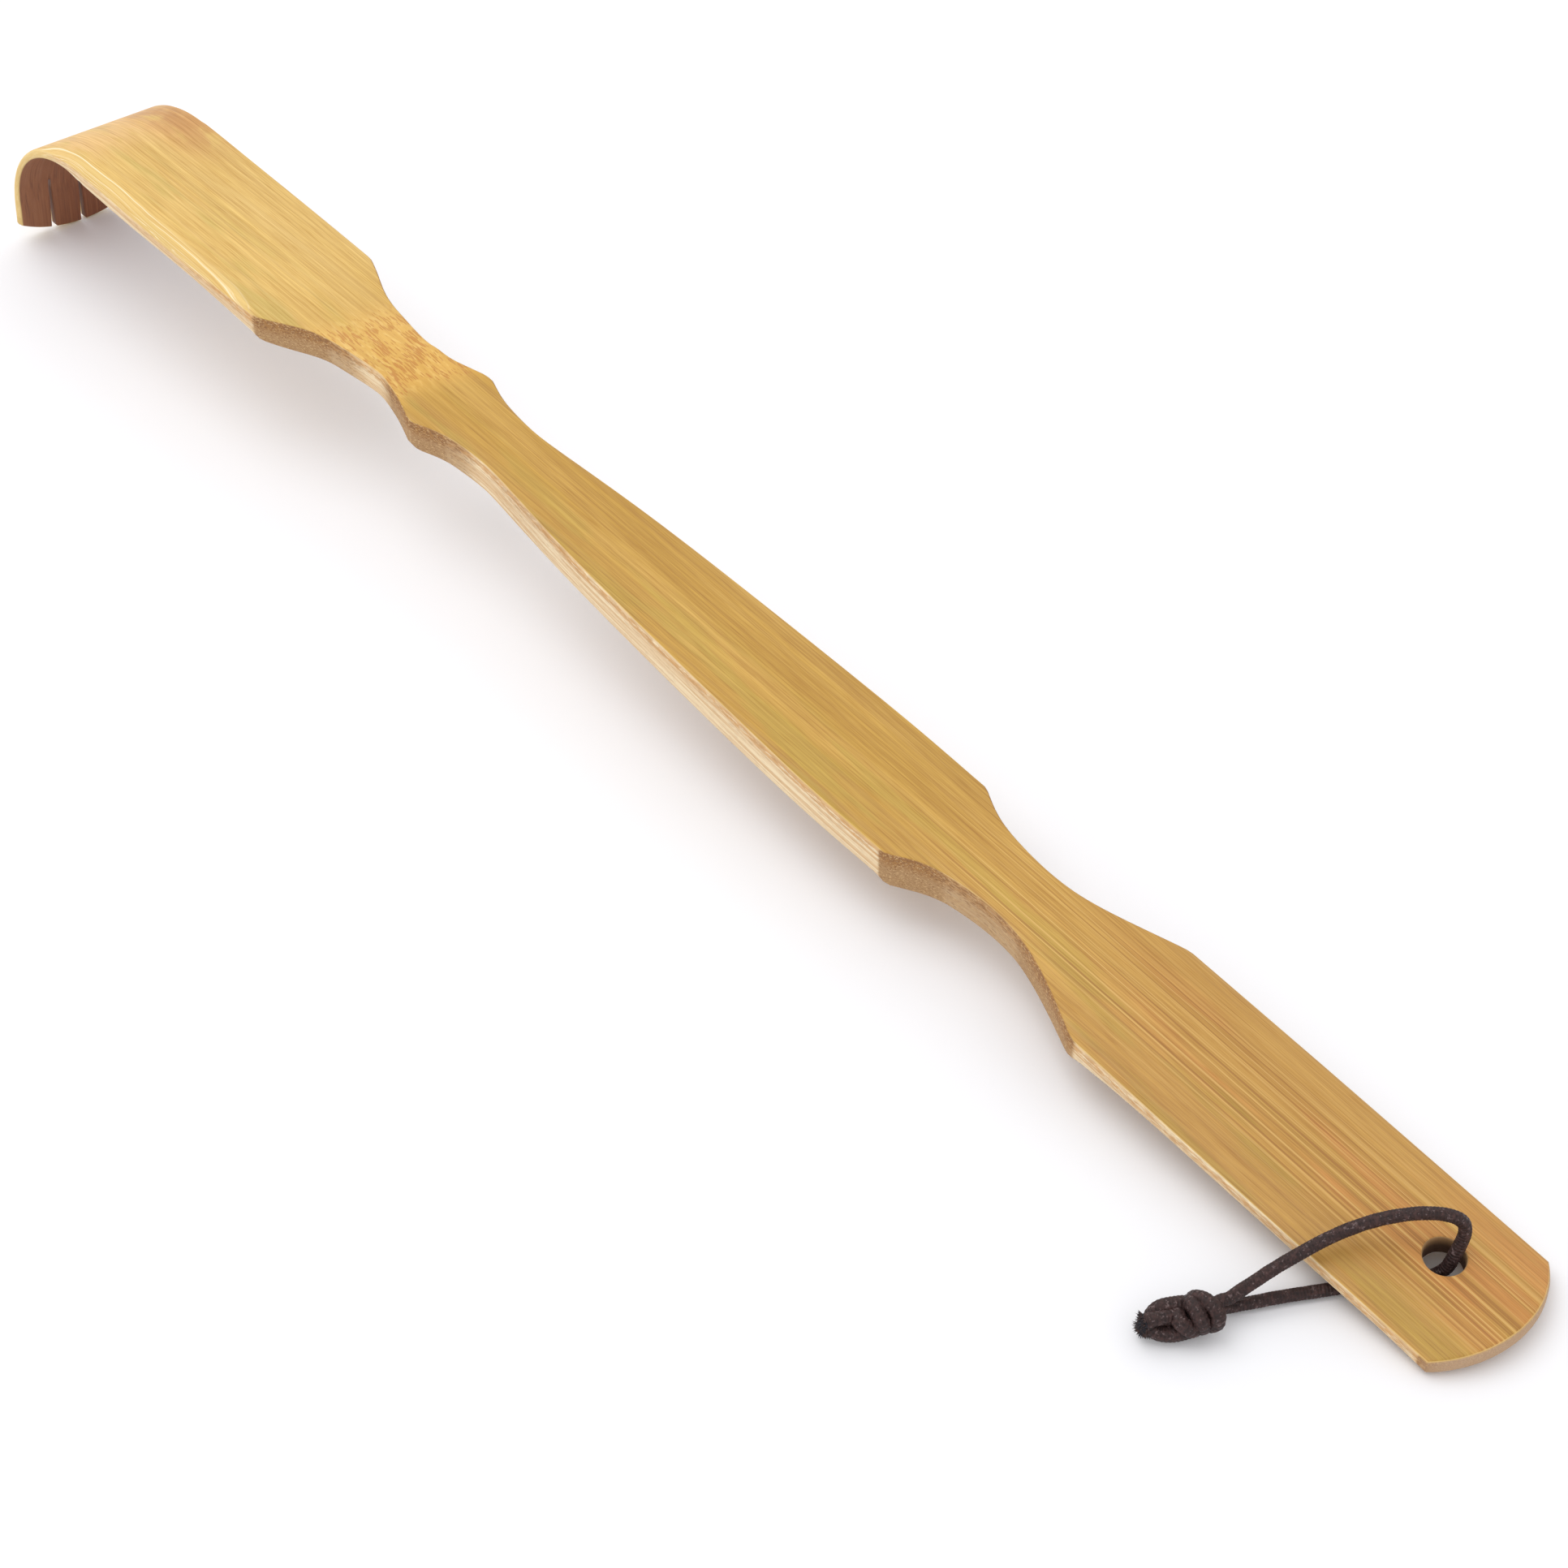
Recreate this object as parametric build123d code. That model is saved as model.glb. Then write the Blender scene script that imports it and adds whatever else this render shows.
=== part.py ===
from build123d import *
import os
from math import atan2, cos, degrees, radians, sin, sqrt, tan

# A back scratcher made from one strip of bamboo, with a waxed cord loop through its hanging hole.
# It lies as it would on a table: +X runs from the teeth to the handle end, +Z is up, and z = 0 is the
# table. The middle teeth and the handle end touch the table.

# ---- the bamboo strip: blank ----
CULM_RADIUS = 55.0          # outer radius of the bamboo culm, which arches the top face across Y
UNDERSIDE_RADIUS = 130.0    # the planed underside is hollowed this gently across Y
EDGE_HALF_WIDTH = 16.5      # where the height and thickness of the strip's edge are stated
SLOPE = -0.0886             # the lying strip falls towards the handle end
BOW = 2.77                  # how far the strip bows up over its length
BOW_CENTRE_X = 24.1
BOW_HALF_LENGTH = 208.0
BOW_CENTRE_Z = 21.1         # height of the edge at BOW_CENTRE_X, before the bow is added
BLANK_WIDTH = 44.0          # the blank is wider and deeper than the finished strip
BLANK_DEPTH = 56.0
BLANK_ALLOWANCE = 6.0       # and runs on this far past the handle end

# ---- the bamboo strip: hook and teeth ----
# The head is pressed flat across where it bends down, along a line a little askew to Y.
BEND_SKEW = 0.145           # how far the bend moves along X for each step along Y
FLAT_SLOPE = -0.024         # the flattened upper face, from the bend towards the handle
OUTER_BEND = (-189.4, 7.0)  # centre (x, z) of the bend's outer face, on the centreline
OUTER_BEND_RADIUS = 32.5
INNER_BEND = (-195.7, 10.7)
INNER_BEND_RADIUS = 23.7
HOOK_LEAN = 6.0             # degrees by which the teeth still lean outwards from straight down
HEAD_BEND = (-191.0, 10.7)  # where the head's planed underside runs out into the bend
HEAD_BEND_RADIUS = 22.9
TOOTH_BLANK_LENGTH = 24.0   # straight length after the bend, before the tips are sawn
TIP_ARC_RADIUS = 27.0       # the row of tips is an arc, with the middle teeth longest
SLIT_PITCH = 7.5
SLIT_TIP_WIDTH = 1.2
SLIT_ROOT_WIDTH = 0.7
SLIT_TOP_Z = 16.5

# ---- the bamboo strip: outline seen from above, as half widths ----
HEAD_HALF_WIDTH = 16.2
HOOK_HALF_WIDTH = 15.8
HOOK_END_X = -240.0         # beyond the outer face of the hook
HEAD_FULL_WIDTH_X = -165.0
HANDLE_FULL_WIDTH_X = 165.0
HANDLE_HALF_WIDTH = 16.8
HANDLE_END_X = 226.6
END_CORNER_X = 219.2
HEAD_CORNER = (-123.5, 16.2)
BULGE_CORNER = (-74.8, 11.4)
SHAFT_CORNER = (76.2, 13.9)
HANDLE_CORNER = (130.2, 16.6)
FIRST_NECK = [(-118.0, 13.8), (-110.0, 10.2), (-101.0, 8.4), (-91.5, 7.5), (-83.0, 8.6)]
SECOND_NECK = [(-69.0, 9.2), (-62.0, 7.9), (-54.5, 7.5), (-46.0, 8.1)]
SHAFT = [(-26.0, 10.1), (4.0, 12.0), (34.0, 13.3), (60.0, 14.0)]
THIRD_NECK = [(83.0, 10.3), (91.0, 8.4), (100.0, 7.7), (109.5, 8.7), (119.0, 11.8)]
CORNER_ROUNDING = 1.6
UPPER_EDGE_ROUNDING = 1.0
CENTRING = -1.0             # slides the finished strip along X, so that x = 0 is halfway along it
SAME_PLACE = 0.01

# ---- the bamboo strip: underside, as points (x, z) of its edge ----
HEAD_UNDERSIDE = [(-185.0, 33.2), (-170.0, 32.3), (-150.0, 31.6), (-125.0, 29.4)]
SHAFT_UNDERSIDE = [(-75.0, 25.4), (-50.0, 22.3), (-20.0, 19.5), (20.0, 15.4), (60.0, 12.0)]
GRIP_UNDERSIDE = [(95.0, 9.6), (115.0, 8.3), (135.0, 7.9), (150.0, 7.6)]
HANDLE_UNDERSIDE = [(170.0, 5.9), (195.0, 3.35), (210.0, 1.9)]
HANDLE_TOUCHDOWN = (220.0, 0.0)
TOUCHDOWN_SLOPE = -0.28
STRIP_THICKNESS = 9.0       # near the middle, where it sets the height of the underside's axis

# ---- the hanging hole ----
HOLE_X = 206.6
HOLE_Y = 0.9
HOLE_DIAMETER = 8.0

# ---- sizes of the cutting shapes, which only have to reach past the strip ----
CUT_DEPTH = 80.0
BELOW_TABLE = -40.0
UNDERSIDE_HALF_TURN = 11.0  # degrees about the underside's axis, past both edges
TIP_CUT_HALF_WIDTH = 24.0
TIP_CUT_BOTTOM = -20.0
TOOTH_CUT_DEPTH = 34.0      # from HOOK_END_X, past the hook but short of the head's underside

# ---- the cord ----
CORD_DIAMETER = 2.6
ARC_SHARE = 0.45            # how much of the shorter run each bend's arc takes
# The loop leaves the knot, rises over the handle, drops through the hole and runs back underneath.
CORD_ROUTE = [
    (185.8, -32.9, 4.8),
    (187.2, -26.6, 6.8),
    (189.5, -19.6, 9.6),
    (192.4, -12.6, 12.6),
    (196.4, -6.2, 15.2),
    (201.2, -0.8, 16.8),
    (205.4, 3.1, 16.9),
    (208.2, 5.0, 15.0),
    (209.1, 4.8, 11.6),
    (208.1, 2.8, 7.8),
    (207.2, 1.4, 3.9),
    (204.9, -1.5, 1.65),
    (201.0, -6.4, 1.5),
    (197.4, -11.8, 1.5),
    (193.8, -17.8, 1.45),
    (190.6, -23.0, 1.5),
    (188.0, -27.8, 1.6),
    (185.6, -32.2, 1.6),
]

# ---- the knot and the cut ends ----
KNOT_WRAP = (184.3, -35.7, 3.75)    # centre of the wrapped turns, next to the loop
KNOT_WRAP_RADIUS = 3.6
KNOT_TAIL = (180.4, -43.0, 3.4)     # centre of the far bend of the folded loop behind them
KNOT_TAIL_RADIUS = 3.3
CUT_END_LENGTH = 5.6
CUT_END_SPREAD = 1.35               # half the distance between the two cut ends


def edge_height(x):
    """Height of the strip's upper edge above the table."""
    from_centre = x - BOW_CENTRE_X
    return BOW_CENTRE_Z + SLOPE * from_centre + BOW * (1 - (from_centre / BOW_HALF_LENGTH) ** 2)


def crown_height(x):
    """Height of the upper face on the centreline, above the table."""
    return edge_height(x) + EDGE_HALF_WIDTH ** 2 / (2 * CULM_RADIUS)


def blank():
    """The strip before its outline is sawn: an arched top on a deep block."""
    start_x = HANDLE_END_X + BLANK_ALLOWANCE
    middle_x = (start_x + HOOK_END_X) / 2
    crown = [(x, 0, crown_height(x)) for x in (start_x, middle_x, HOOK_END_X)]
    path = ThreePointArc(*crown)
    section_plane = Plane(origin=path @ 0, x_dir=(0, -1, 0), z_dir=path % 0)
    half = BLANK_WIDTH / 2
    drop = half ** 2 / (2 * CULM_RADIUS)
    arch = ThreePointArc((-half, -drop), (0, 0), (half, -drop))
    sides = Polyline((half, -drop), (half, -BLANK_DEPTH), (-half, -BLANK_DEPTH), (-half, -drop))
    return sweep(section_plane * make_face(arch + sides), path=path)


def bend_curves(centre, radius, past_top):
    """The tooth line and the bend (x, z), up from the teeth and on past the top by that many degrees."""
    start, middle, end = [
        Vector(*centre) + Vector(radius, 0).rotate(Axis.Z, degrees_up)
        for degrees_up in (180 - HOOK_LEAN, 135, 90 - past_top)
    ]
    lean = radians(HOOK_LEAN)
    tooth_end = start - Vector(sin(lean), cos(lean)) * TOOTH_BLANK_LENGTH
    return Line(tooth_end, start) + ThreePointArc(start, middle, end)


def below(curves):
    """The face (x, z) under a row of curves, down to far below the table."""
    left, right = curves @ 0, curves @ 1
    closing = Polyline(right, (right.X, BELOW_TABLE), (left.X, BELOW_TABLE), left)
    return Plane.XZ * make_face(curves + closing)


def askew(face):
    """A face in XZ drawn out across the strip, askew to Y as the bend is."""
    half = BLANK_WIDTH / 2
    heading = Vector(BEND_SKEW, 1, 0)
    return extrude(Pos(-half * BEND_SKEW, -half, 0) * face, BLANK_WIDTH * heading.length, heading)


def outer_bend():
    """Everything below the head's flattened upper face and inside the hook's outer face."""
    past_top = -degrees(atan2(FLAT_SLOPE, 1))
    bend = bend_curves(OUTER_BEND, OUTER_BEND_RADIUS, past_top)
    top = bend @ 1
    far_x = HANDLE_END_X + 2 * BLANK_ALLOWANCE
    flat = Line(top, (far_x, top.Y + FLAT_SLOPE * (far_x - top.X)))
    return askew(below(bend + flat))


def inner_bend():
    """Everything inside the hook."""
    return askew(below(bend_curves(INNER_BEND, INNER_BEND_RADIUS, 45)))


def underside_cutter():
    """Everything below the planed underside, hollow across Y by UNDERSIDE_RADIUS."""
    spine_z = BOW_CENTRE_Z - STRIP_THICKNESS - UNDERSIDE_RADIUS
    spine = Axis((BOW_CENTRE_X, 0, spine_z), (1, 0, SLOPE))
    bend = bend_curves(HEAD_BEND, HEAD_BEND_RADIUS, 0)
    far_x = HANDLE_END_X + BLANK_ALLOWANCE
    underside_points = HEAD_UNDERSIDE + SHAFT_UNDERSIDE + GRIP_UNDERSIDE + HANDLE_UNDERSIDE
    planed = Spline(
        [bend @ 1, *underside_points, HANDLE_TOUCHDOWN],
        tangents=[(1, 0), (1, TOUCHDOWN_SLOPE)],
    )
    level = Line(HANDLE_TOUCHDOWN, (far_x, 0))
    hollow = EDGE_HALF_WIDTH ** 2 / (2 * UNDERSIDE_RADIUS)
    profile = Pos(0, 0, hollow) * below(bend + planed + level)
    slab = revolve(profile, axis=spine, revolution_arc=2 * UNDERSIDE_HALF_TURN)
    return slab.rotate(spine, -UNDERSIDE_HALF_TURN)


def is_at(vertex, corners):
    """Whether a vertex is one of the corners, or the mirror image of one."""
    return any(abs(vertex.X - x) < SAME_PLACE and abs(abs(vertex.Y) - y) < SAME_PLACE for x, y in corners)


def outline():
    """The sawn outline, from above."""
    hook_corner = (HOOK_END_X, HOOK_HALF_WIDTH)
    end_corner = (END_CORNER_X, HANDLE_HALF_WIDTH)
    half = [
        Polyline(hook_corner, (HEAD_FULL_WIDTH_X, HEAD_HALF_WIDTH), HEAD_CORNER),
        Spline(HEAD_CORNER, *FIRST_NECK, BULGE_CORNER),
        Spline(BULGE_CORNER, *SECOND_NECK, *SHAFT, SHAFT_CORNER),
        Spline(SHAFT_CORNER, *THIRD_NECK, HANDLE_CORNER),
        Polyline(HANDLE_CORNER, (HANDLE_FULL_WIDTH_X, HANDLE_HALF_WIDTH), end_corner),
    ]
    end_arc = ThreePointArc(end_corner, (HANDLE_END_X, 0), (END_CORNER_X, -HANDLE_HALF_WIDTH))
    butt = Line(hook_corner, (HOOK_END_X, -HOOK_HALF_WIDTH))
    mirrored = [curve.mirror(Plane.XZ) for curve in half]
    face = make_face(Curve() + half + mirrored + [end_arc, butt])
    sharp_corners = [HEAD_CORNER, BULGE_CORNER, SHAFT_CORNER, HANDLE_CORNER, end_corner]
    rounded = [v for v in face.vertices() if is_at(v, sharp_corners)]
    return fillet(rounded, CORNER_ROUNDING)


def tooth_cutters():
    """What is sawn away at the head: the arc along the tips, and the tapering slits."""
    reach = TIP_CUT_HALF_WIDTH
    rise = TIP_ARC_RADIUS - sqrt(TIP_ARC_RADIUS ** 2 - reach ** 2)
    tip_arc = ThreePointArc((-reach, rise), (0, 0), (reach, rise))
    below = Polyline((reach, rise), (reach, TIP_CUT_BOTTOM), (-reach, TIP_CUT_BOTTOM), (-reach, rise))
    tip_cut = extrude(Plane.YZ * make_face(tip_arc + below), TOOTH_CUT_DEPTH)
    cutters = [Pos(HOOK_END_X, 0, 0) * tip_cut]
    for step in (-1, 0, 1):
        slit = Polyline(
            (-SLIT_TIP_WIDTH / 2, -SLIT_TIP_WIDTH),
            (SLIT_TIP_WIDTH / 2, -SLIT_TIP_WIDTH),
            (SLIT_ROOT_WIDTH / 2, SLIT_TOP_Z),
            (-SLIT_ROOT_WIDTH / 2, SLIT_TOP_Z),
            close=True,
        )
        wedge = extrude(Plane.YZ * make_face(slit), TOOTH_CUT_DEPTH)
        cutters.append(Pos(HOOK_END_X, step * SLIT_PITCH, 0) * wedge)
    return cutters


def upper_rim_edge(strip):
    """One upper edge of the handle, from which a rounding runs on along the whole smooth rim."""
    handle_edges = [e for e in strip.edges() if (e @ 0.5).X > HANDLE_FULL_WIDTH_X]
    side_edges = [e for e in handle_edges if (e @ 0.5).Y > HEAD_HALF_WIDTH and e.length > HANDLE_HALF_WIDTH]
    return max(side_edges, key=lambda e: (e @ 0.5).Z)


def bamboo_body():
    """The whole strip: sawn to its outline, bent and flattened, planed below, slit and bored."""
    strip = blank() & Pos(0, 0, TIP_CUT_BOTTOM) * extrude(outline(), CUT_DEPTH)
    strip = fillet(upper_rim_edge(strip), UPPER_EDGE_ROUNDING)
    strip = (strip & outer_bend()) - inner_bend() - underside_cutter()
    strip = Pos(CENTRING, 0, 0) * (strip - tooth_cutters())
    return strip - Pos(HOLE_X, HOLE_Y, 0) * Cylinder(HOLE_DIAMETER / 2, CUT_DEPTH)


def cord_loop():
    """The free loop: straight runs joined by arcs as large as the runs allow."""
    points = [Vector(*point) for point in CORD_ROUTE]
    radii = []
    for before, corner, after in zip(points, points[1:], points[2:]):
        arriving = corner - before
        leaving = after - corner
        half_turn = radians(arriving.get_angle(leaving) / 2)
        radii.append(ARC_SHARE * min(arriving.length, leaving.length) / tan(half_turn))
    print("cord bend radii, mm:", [round(radius, 1) for radius in radii])
    path = FilletPolyline(*points, radius=radii)
    section = Plane(origin=path @ 0, z_dir=path % 0) * Circle(CORD_DIAMETER / 2)
    tube = sweep(section, path=path)
    print("cord length, mm:", round(path.length, 1), "volume:", round(tube.volume, 1))
    print("section times length:", round(section.area * path.length, 1))
    return tube


def cut_ends():
    """The two short ends of the cord that stick out behind the knot, side by side."""
    heading = (Vector(*KNOT_TAIL) - Vector(*KNOT_WRAP)).normalized()
    across = heading.cross(Vector(0, 0, 1)).normalized()
    ends = []
    for side in (-1, 1):
        start = Vector(*KNOT_TAIL) + across * (side * CUT_END_SPREAD)
        plane = Plane(origin=start, z_dir=heading)
        ends.append(extrude(plane * Circle(CORD_DIAMETER / 2), CUT_END_LENGTH))
    return ends


def cord_knot(loop, ends):
    """The knot's outer shape: a ball of wrapped turns running into a longer, narrower bulge."""
    wrap = Vector(*KNOT_WRAP)
    tail = Vector(*KNOT_TAIL)
    axis_plane = Plane(origin=wrap, z_dir=(tail - wrap).normalized())
    neck = extrude(axis_plane * Circle(KNOT_TAIL_RADIUS), (tail - wrap).length)
    knot = Pos(*KNOT_WRAP) * Sphere(KNOT_WRAP_RADIUS) + neck + Pos(*KNOT_TAIL) * Sphere(KNOT_TAIL_RADIUS)
    knot -= loop
    for end in ends:
        knot -= end
    return knot


def main():
    os.makedirs("parts", exist_ok=True)
    loop = cord_loop()
    ends = cut_ends()
    nodes = {
        "bamboo_body": bamboo_body(),
        "cord_loop": loop,
        "cord_knot": cord_knot(loop, ends),
        "cord_ends": Compound(children=ends),
    }
    for name, shape in nodes.items():
        export_step(shape, f"parts/{name}.step")


main()
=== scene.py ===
from math import acos, atan2, ceil, cos, exp, pi, radians, sin, sqrt

import bmesh
import bpy
import numpy as np
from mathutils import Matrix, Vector, noise


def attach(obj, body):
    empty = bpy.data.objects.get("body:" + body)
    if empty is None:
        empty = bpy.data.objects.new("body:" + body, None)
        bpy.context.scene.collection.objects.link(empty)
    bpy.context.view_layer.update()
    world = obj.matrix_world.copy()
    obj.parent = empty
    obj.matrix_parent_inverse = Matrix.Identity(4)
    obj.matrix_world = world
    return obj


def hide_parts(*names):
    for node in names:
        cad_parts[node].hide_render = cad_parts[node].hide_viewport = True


# A bamboo back scratcher with a waxed cord loop, lying on a white table.
# Sizes are in millimetres, as in the part's own drawing, and MM turns them into Blender's metres.
MM = 0.001

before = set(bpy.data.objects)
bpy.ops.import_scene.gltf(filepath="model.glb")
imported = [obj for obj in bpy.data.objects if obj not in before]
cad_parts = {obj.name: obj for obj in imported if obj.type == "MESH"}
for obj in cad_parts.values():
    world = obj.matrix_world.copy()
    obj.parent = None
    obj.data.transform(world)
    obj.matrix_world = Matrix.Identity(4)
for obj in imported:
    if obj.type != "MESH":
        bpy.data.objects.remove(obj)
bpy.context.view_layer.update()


# ---------- the strip's drawing
CULM_RADIUS = 55.0
UNDERSIDE_RADIUS = 130.0
EDGE_HALF_WIDTH = 16.5
SLOPE = -0.0886
BOW = 2.77
BOW_CENTRE_X = 24.1
BOW_HALF_LENGTH = 208.0
BOW_CENTRE_Z = 21.1

CENTRING = -1.0  # along X, from the drawing to the part's own frame
BEND_SKEW = 0.145  # how far the bend moves along X for each step along Y
FLAT_SLOPE = -0.024
OUTER_BEND = Vector((-189.4, 7.0))
OUTER_BEND_RADIUS = 32.5
INNER_BEND = Vector((-195.7, 10.7))
INNER_BEND_RADIUS = 23.7
HEAD_BEND = Vector((-191.0, 10.7))
HEAD_BEND_RADIUS = 22.9
HOOK_LEAN = radians(6.0)
TIP_ARC_RADIUS = 27.0
SLIT_PITCH = 7.5
SLIT_TOP_Z = 16.5
SLIT_TIP_WIDTH = 1.2
SLIT_ROOT_WIDTH = 0.7
SLIT_FLARE = 0.9  # how much wider the slits get over the last part of the teeth
FLARE_START = 0.93  # where the flare starts, as a share of the teeth's length
FLARE_LENGTH = 0.07
TIP_CORNER_CUT = 0.35  # the outer teeth lose this much width at their tips' corners
TIP_CORNER_START = 0.9
TIP_CORNER_LENGTH = 0.1

HOOK_END_X = -240.0
HOOK_HALF_WIDTH = 15.8
HOOK_WIDTH_X = -215.0  # from the bend to the tips, the strip is as wide as it is drawn here
CORNER_REACH = 1.3  # how far the outline's corners are rounded to each side
HEAD_FULL_WIDTH_X = -165.0
HEAD_CORNER = (-123.5, 16.2)
BULGE_CORNER = (-74.8, 11.4)
SHAFT_CORNER = (76.2, 13.9)
HANDLE_CORNER = (130.2, 16.6)
HANDLE_HALF_WIDTH = 16.8
HANDLE_FULL_WIDTH_X = 165.0
HANDLE_END_X = 226.6
END_CORNER_X = 219.2
FIRST_NECK = [(-118.0, 13.8), (-110.0, 10.2), (-101.0, 8.4), (-91.5, 7.5), (-83.0, 8.6)]
SECOND_NECK = [(-69.0, 9.2), (-62.0, 7.9), (-54.5, 7.5), (-46.0, 8.1)]
SHAFT = [(-26.0, 10.1), (4.0, 12.0), (34.0, 13.3), (60.0, 14.0)]
THIRD_NECK = [(83.0, 10.3), (91.0, 8.4), (100.0, 7.7), (109.5, 8.7), (119.0, 11.8)]

HEAD_UNDERSIDE = [(-191.0, 33.6), (-185.0, 33.2), (-170.0, 32.3), (-150.0, 31.6), (-125.0, 29.4)]
SHAFT_UNDERSIDE = [(-75.0, 25.4), (-50.0, 22.3), (-20.0, 19.5), (20.0, 15.4), (60.0, 12.0)]
GRIP_UNDERSIDE = [(95.0, 9.6), (115.0, 8.3), (135.0, 7.9), (150.0, 7.6)]
HANDLE_UNDERSIDE = [(170.0, 5.9), (195.0, 3.35), (210.0, 1.9), (220.0, 0.0)]
UNDERSIDE_END_X = HANDLE_UNDERSIDE[-1][0]

HOLE_X = 206.6
HOLE_Y = 0.9
HOLE_RADIUS = 4.0

NECKS = [(-124.0, -88.0), (-75.0, -50.0), (76.0, 130.0)]
NODE_X = -88.5  # where the culm's joint crosses the strip

# ---------- the cord's drawing
CORD_DIAMETER = 2.6
# The route of the part's own drawing, its bend at the hole drawn a little tighter: from the knot over
# the handle, down the hole and back underneath.
CORD_ROUTE = [
    (185.8, -32.9, 4.8),
    (187.2, -26.6, 6.8),
    (189.5, -19.6, 9.6),
    (192.4, -12.6, 12.6),
    (196.4, -6.2, 15.2),
    (201.2, -0.8, 16.8),
    (204.8, 2.7, 16.6),
    (207.1, 4.4, 15.2),
    (207.7, 4.4, 12.0),
    (207.5, 2.7, 7.8),
    (207.2, 1.4, 3.9),
    (204.9, -1.5, 1.65),
    (201.0, -6.4, 1.5),
    (197.4, -11.8, 1.5),
    (193.8, -17.8, 1.45),
    (190.6, -23.0, 1.5),
    (188.0, -27.8, 1.6),
    (185.6, -32.2, 1.6),
]
KNOT_WRAP = Vector((184.3, -35.7, 3.75))
KNOT_TAIL = Vector((180.4, -43.0, 3.4))
KNOT_CENTRE = Vector((182.6, -36.7, 4.2))  # where the strands below are tied


# ---------- camera, floor and lights
CAMERA_AZIMUTH = 0.8378  # radians from -Y towards +X
CAMERA_ELEVATION = 0.7918
CAMERA_DISTANCE = 746.9
CAMERA_TARGET = Vector((33.9, -2.6, 0.4))
CAMERA_LENS = 83.85
FLOOR_REACH = 6.0  # half the floor's width, in metres


def towards(azimuth, elevation):
    """Unit vector towards a place at that azimuth, from -Y towards +X, and elevation."""
    flat = cos(elevation)
    return Vector((sin(azimuth) * flat, -cos(azimuth) * flat, sin(elevation)))


def make_camera():
    data = bpy.data.cameras.new("camera")
    data.lens = CAMERA_LENS
    data.sensor_width = 36.0
    data.clip_start = 0.05
    data.clip_end = 20.0
    camera = bpy.data.objects.new("camera", data)
    back = towards(CAMERA_AZIMUTH, CAMERA_ELEVATION)
    camera.location = (CAMERA_TARGET + back * CAMERA_DISTANCE) * MM
    camera.rotation_mode = "QUATERNION"
    camera.rotation_quaternion = (-back).to_track_quat("-Z", "Y")
    bpy.context.scene.collection.objects.link(camera)
    bpy.context.scene.camera = camera


def area_light(name, azimuth, elevation, distance, size, power):
    """A round softbox, its angles in degrees and its distance and size in metres."""
    data = bpy.data.lights.new(name, "AREA")
    data.shape = "DISK"
    data.size = size
    data.energy = power
    light = bpy.data.objects.new(name, data)
    direction = towards(radians(azimuth), radians(elevation))
    light.location = direction * distance
    light.rotation_mode = "QUATERNION"
    light.rotation_quaternion = direction.to_track_quat("Z", "Y")
    bpy.context.scene.collection.objects.link(light)


def make_lights():
    area_light("top_softbox", azimuth=300, elevation=68, distance=1.5, size=1.35, power=7)
    world = bpy.data.worlds.new("studio")
    world.use_nodes = True
    background = world.node_tree.nodes["Background"]
    background.inputs["Color"].default_value = (1.0, 1.0, 1.0, 1.0)
    background.inputs["Strength"].default_value = 0.96
    bpy.context.scene.world = world


def make_floor():
    mesh = bpy.data.meshes.new("floor")
    signs = [(-1, -1), (1, -1), (1, 1), (-1, 1)]
    mesh.from_pydata([(x * FLOOR_REACH, y * FLOOR_REACH, 0) for x, y in signs], [], [(0, 1, 2, 3)])
    floor = bpy.data.objects.new("floor", mesh)
    bpy.context.scene.collection.objects.link(floor)
    material = bpy.data.materials.new("white_table")
    material.use_nodes = True
    shader = material.node_tree.nodes["Principled BSDF"]
    shader.inputs["Base Color"].default_value = (0.89, 0.89, 0.915, 1.0)
    shader.inputs["Roughness"].default_value = 0.9
    mesh.materials.append(material)


# ---------- small helpers
def fresh_object(name, mesh, material):
    """Links a mesh as a smooth-shaded piece of the object, riding on the one body."""
    mesh.materials.append(material)
    mesh.shade_smooth()
    piece = bpy.data.objects.new(name, mesh)
    bpy.context.scene.collection.objects.link(piece)
    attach(piece, "root")
    return piece


def smooth_through(points):
    """A natural cubic spline through (x, value) points, as a function of x."""
    xs, values = (np.array(row, float) for row in zip(*points))
    steps = np.diff(xs)
    slopes = np.diff(values) / steps
    count = len(xs)
    system = np.eye(count)
    load = np.zeros(count)
    for i in range(1, count - 1):
        system[i, i - 1:i + 2] = steps[i - 1], 2 * (steps[i - 1] + steps[i]), steps[i]
        load[i] = 6 * (slopes[i] - slopes[i - 1])
    bends = np.linalg.solve(system, load)

    def value_at(x):
        i = int(np.clip(np.searchsorted(xs, x) - 1, 0, count - 2))
        a, b, h = xs[i + 1] - x, x - xs[i], steps[i]
        curved = (bends[i] * a ** 3 + bends[i + 1] * b ** 3) / (6 * h)
        straight = (values[i] / h - bends[i] * h / 6) * a + (values[i + 1] / h - bends[i + 1] * h / 6) * b
        return curved + straight

    return value_at


def rounding(distance, radius):
    """How far a rounded edge of that radius lies below the face, at a distance from the edge."""
    left = min(max(1 - distance / radius, 0.0), 1.0)
    return radius * (1 - sqrt(1 - left * left))


def smoothstep(low, high, value):
    t = min(max((value - low) / (high - low), 0.0), 1.0)
    return t * t * (3 - 2 * t)


def ripple(x, y, z=0.0):
    """Repeatable soft noise between about -1 and 1."""
    return noise.noise(Vector((x, y, z)))


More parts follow.
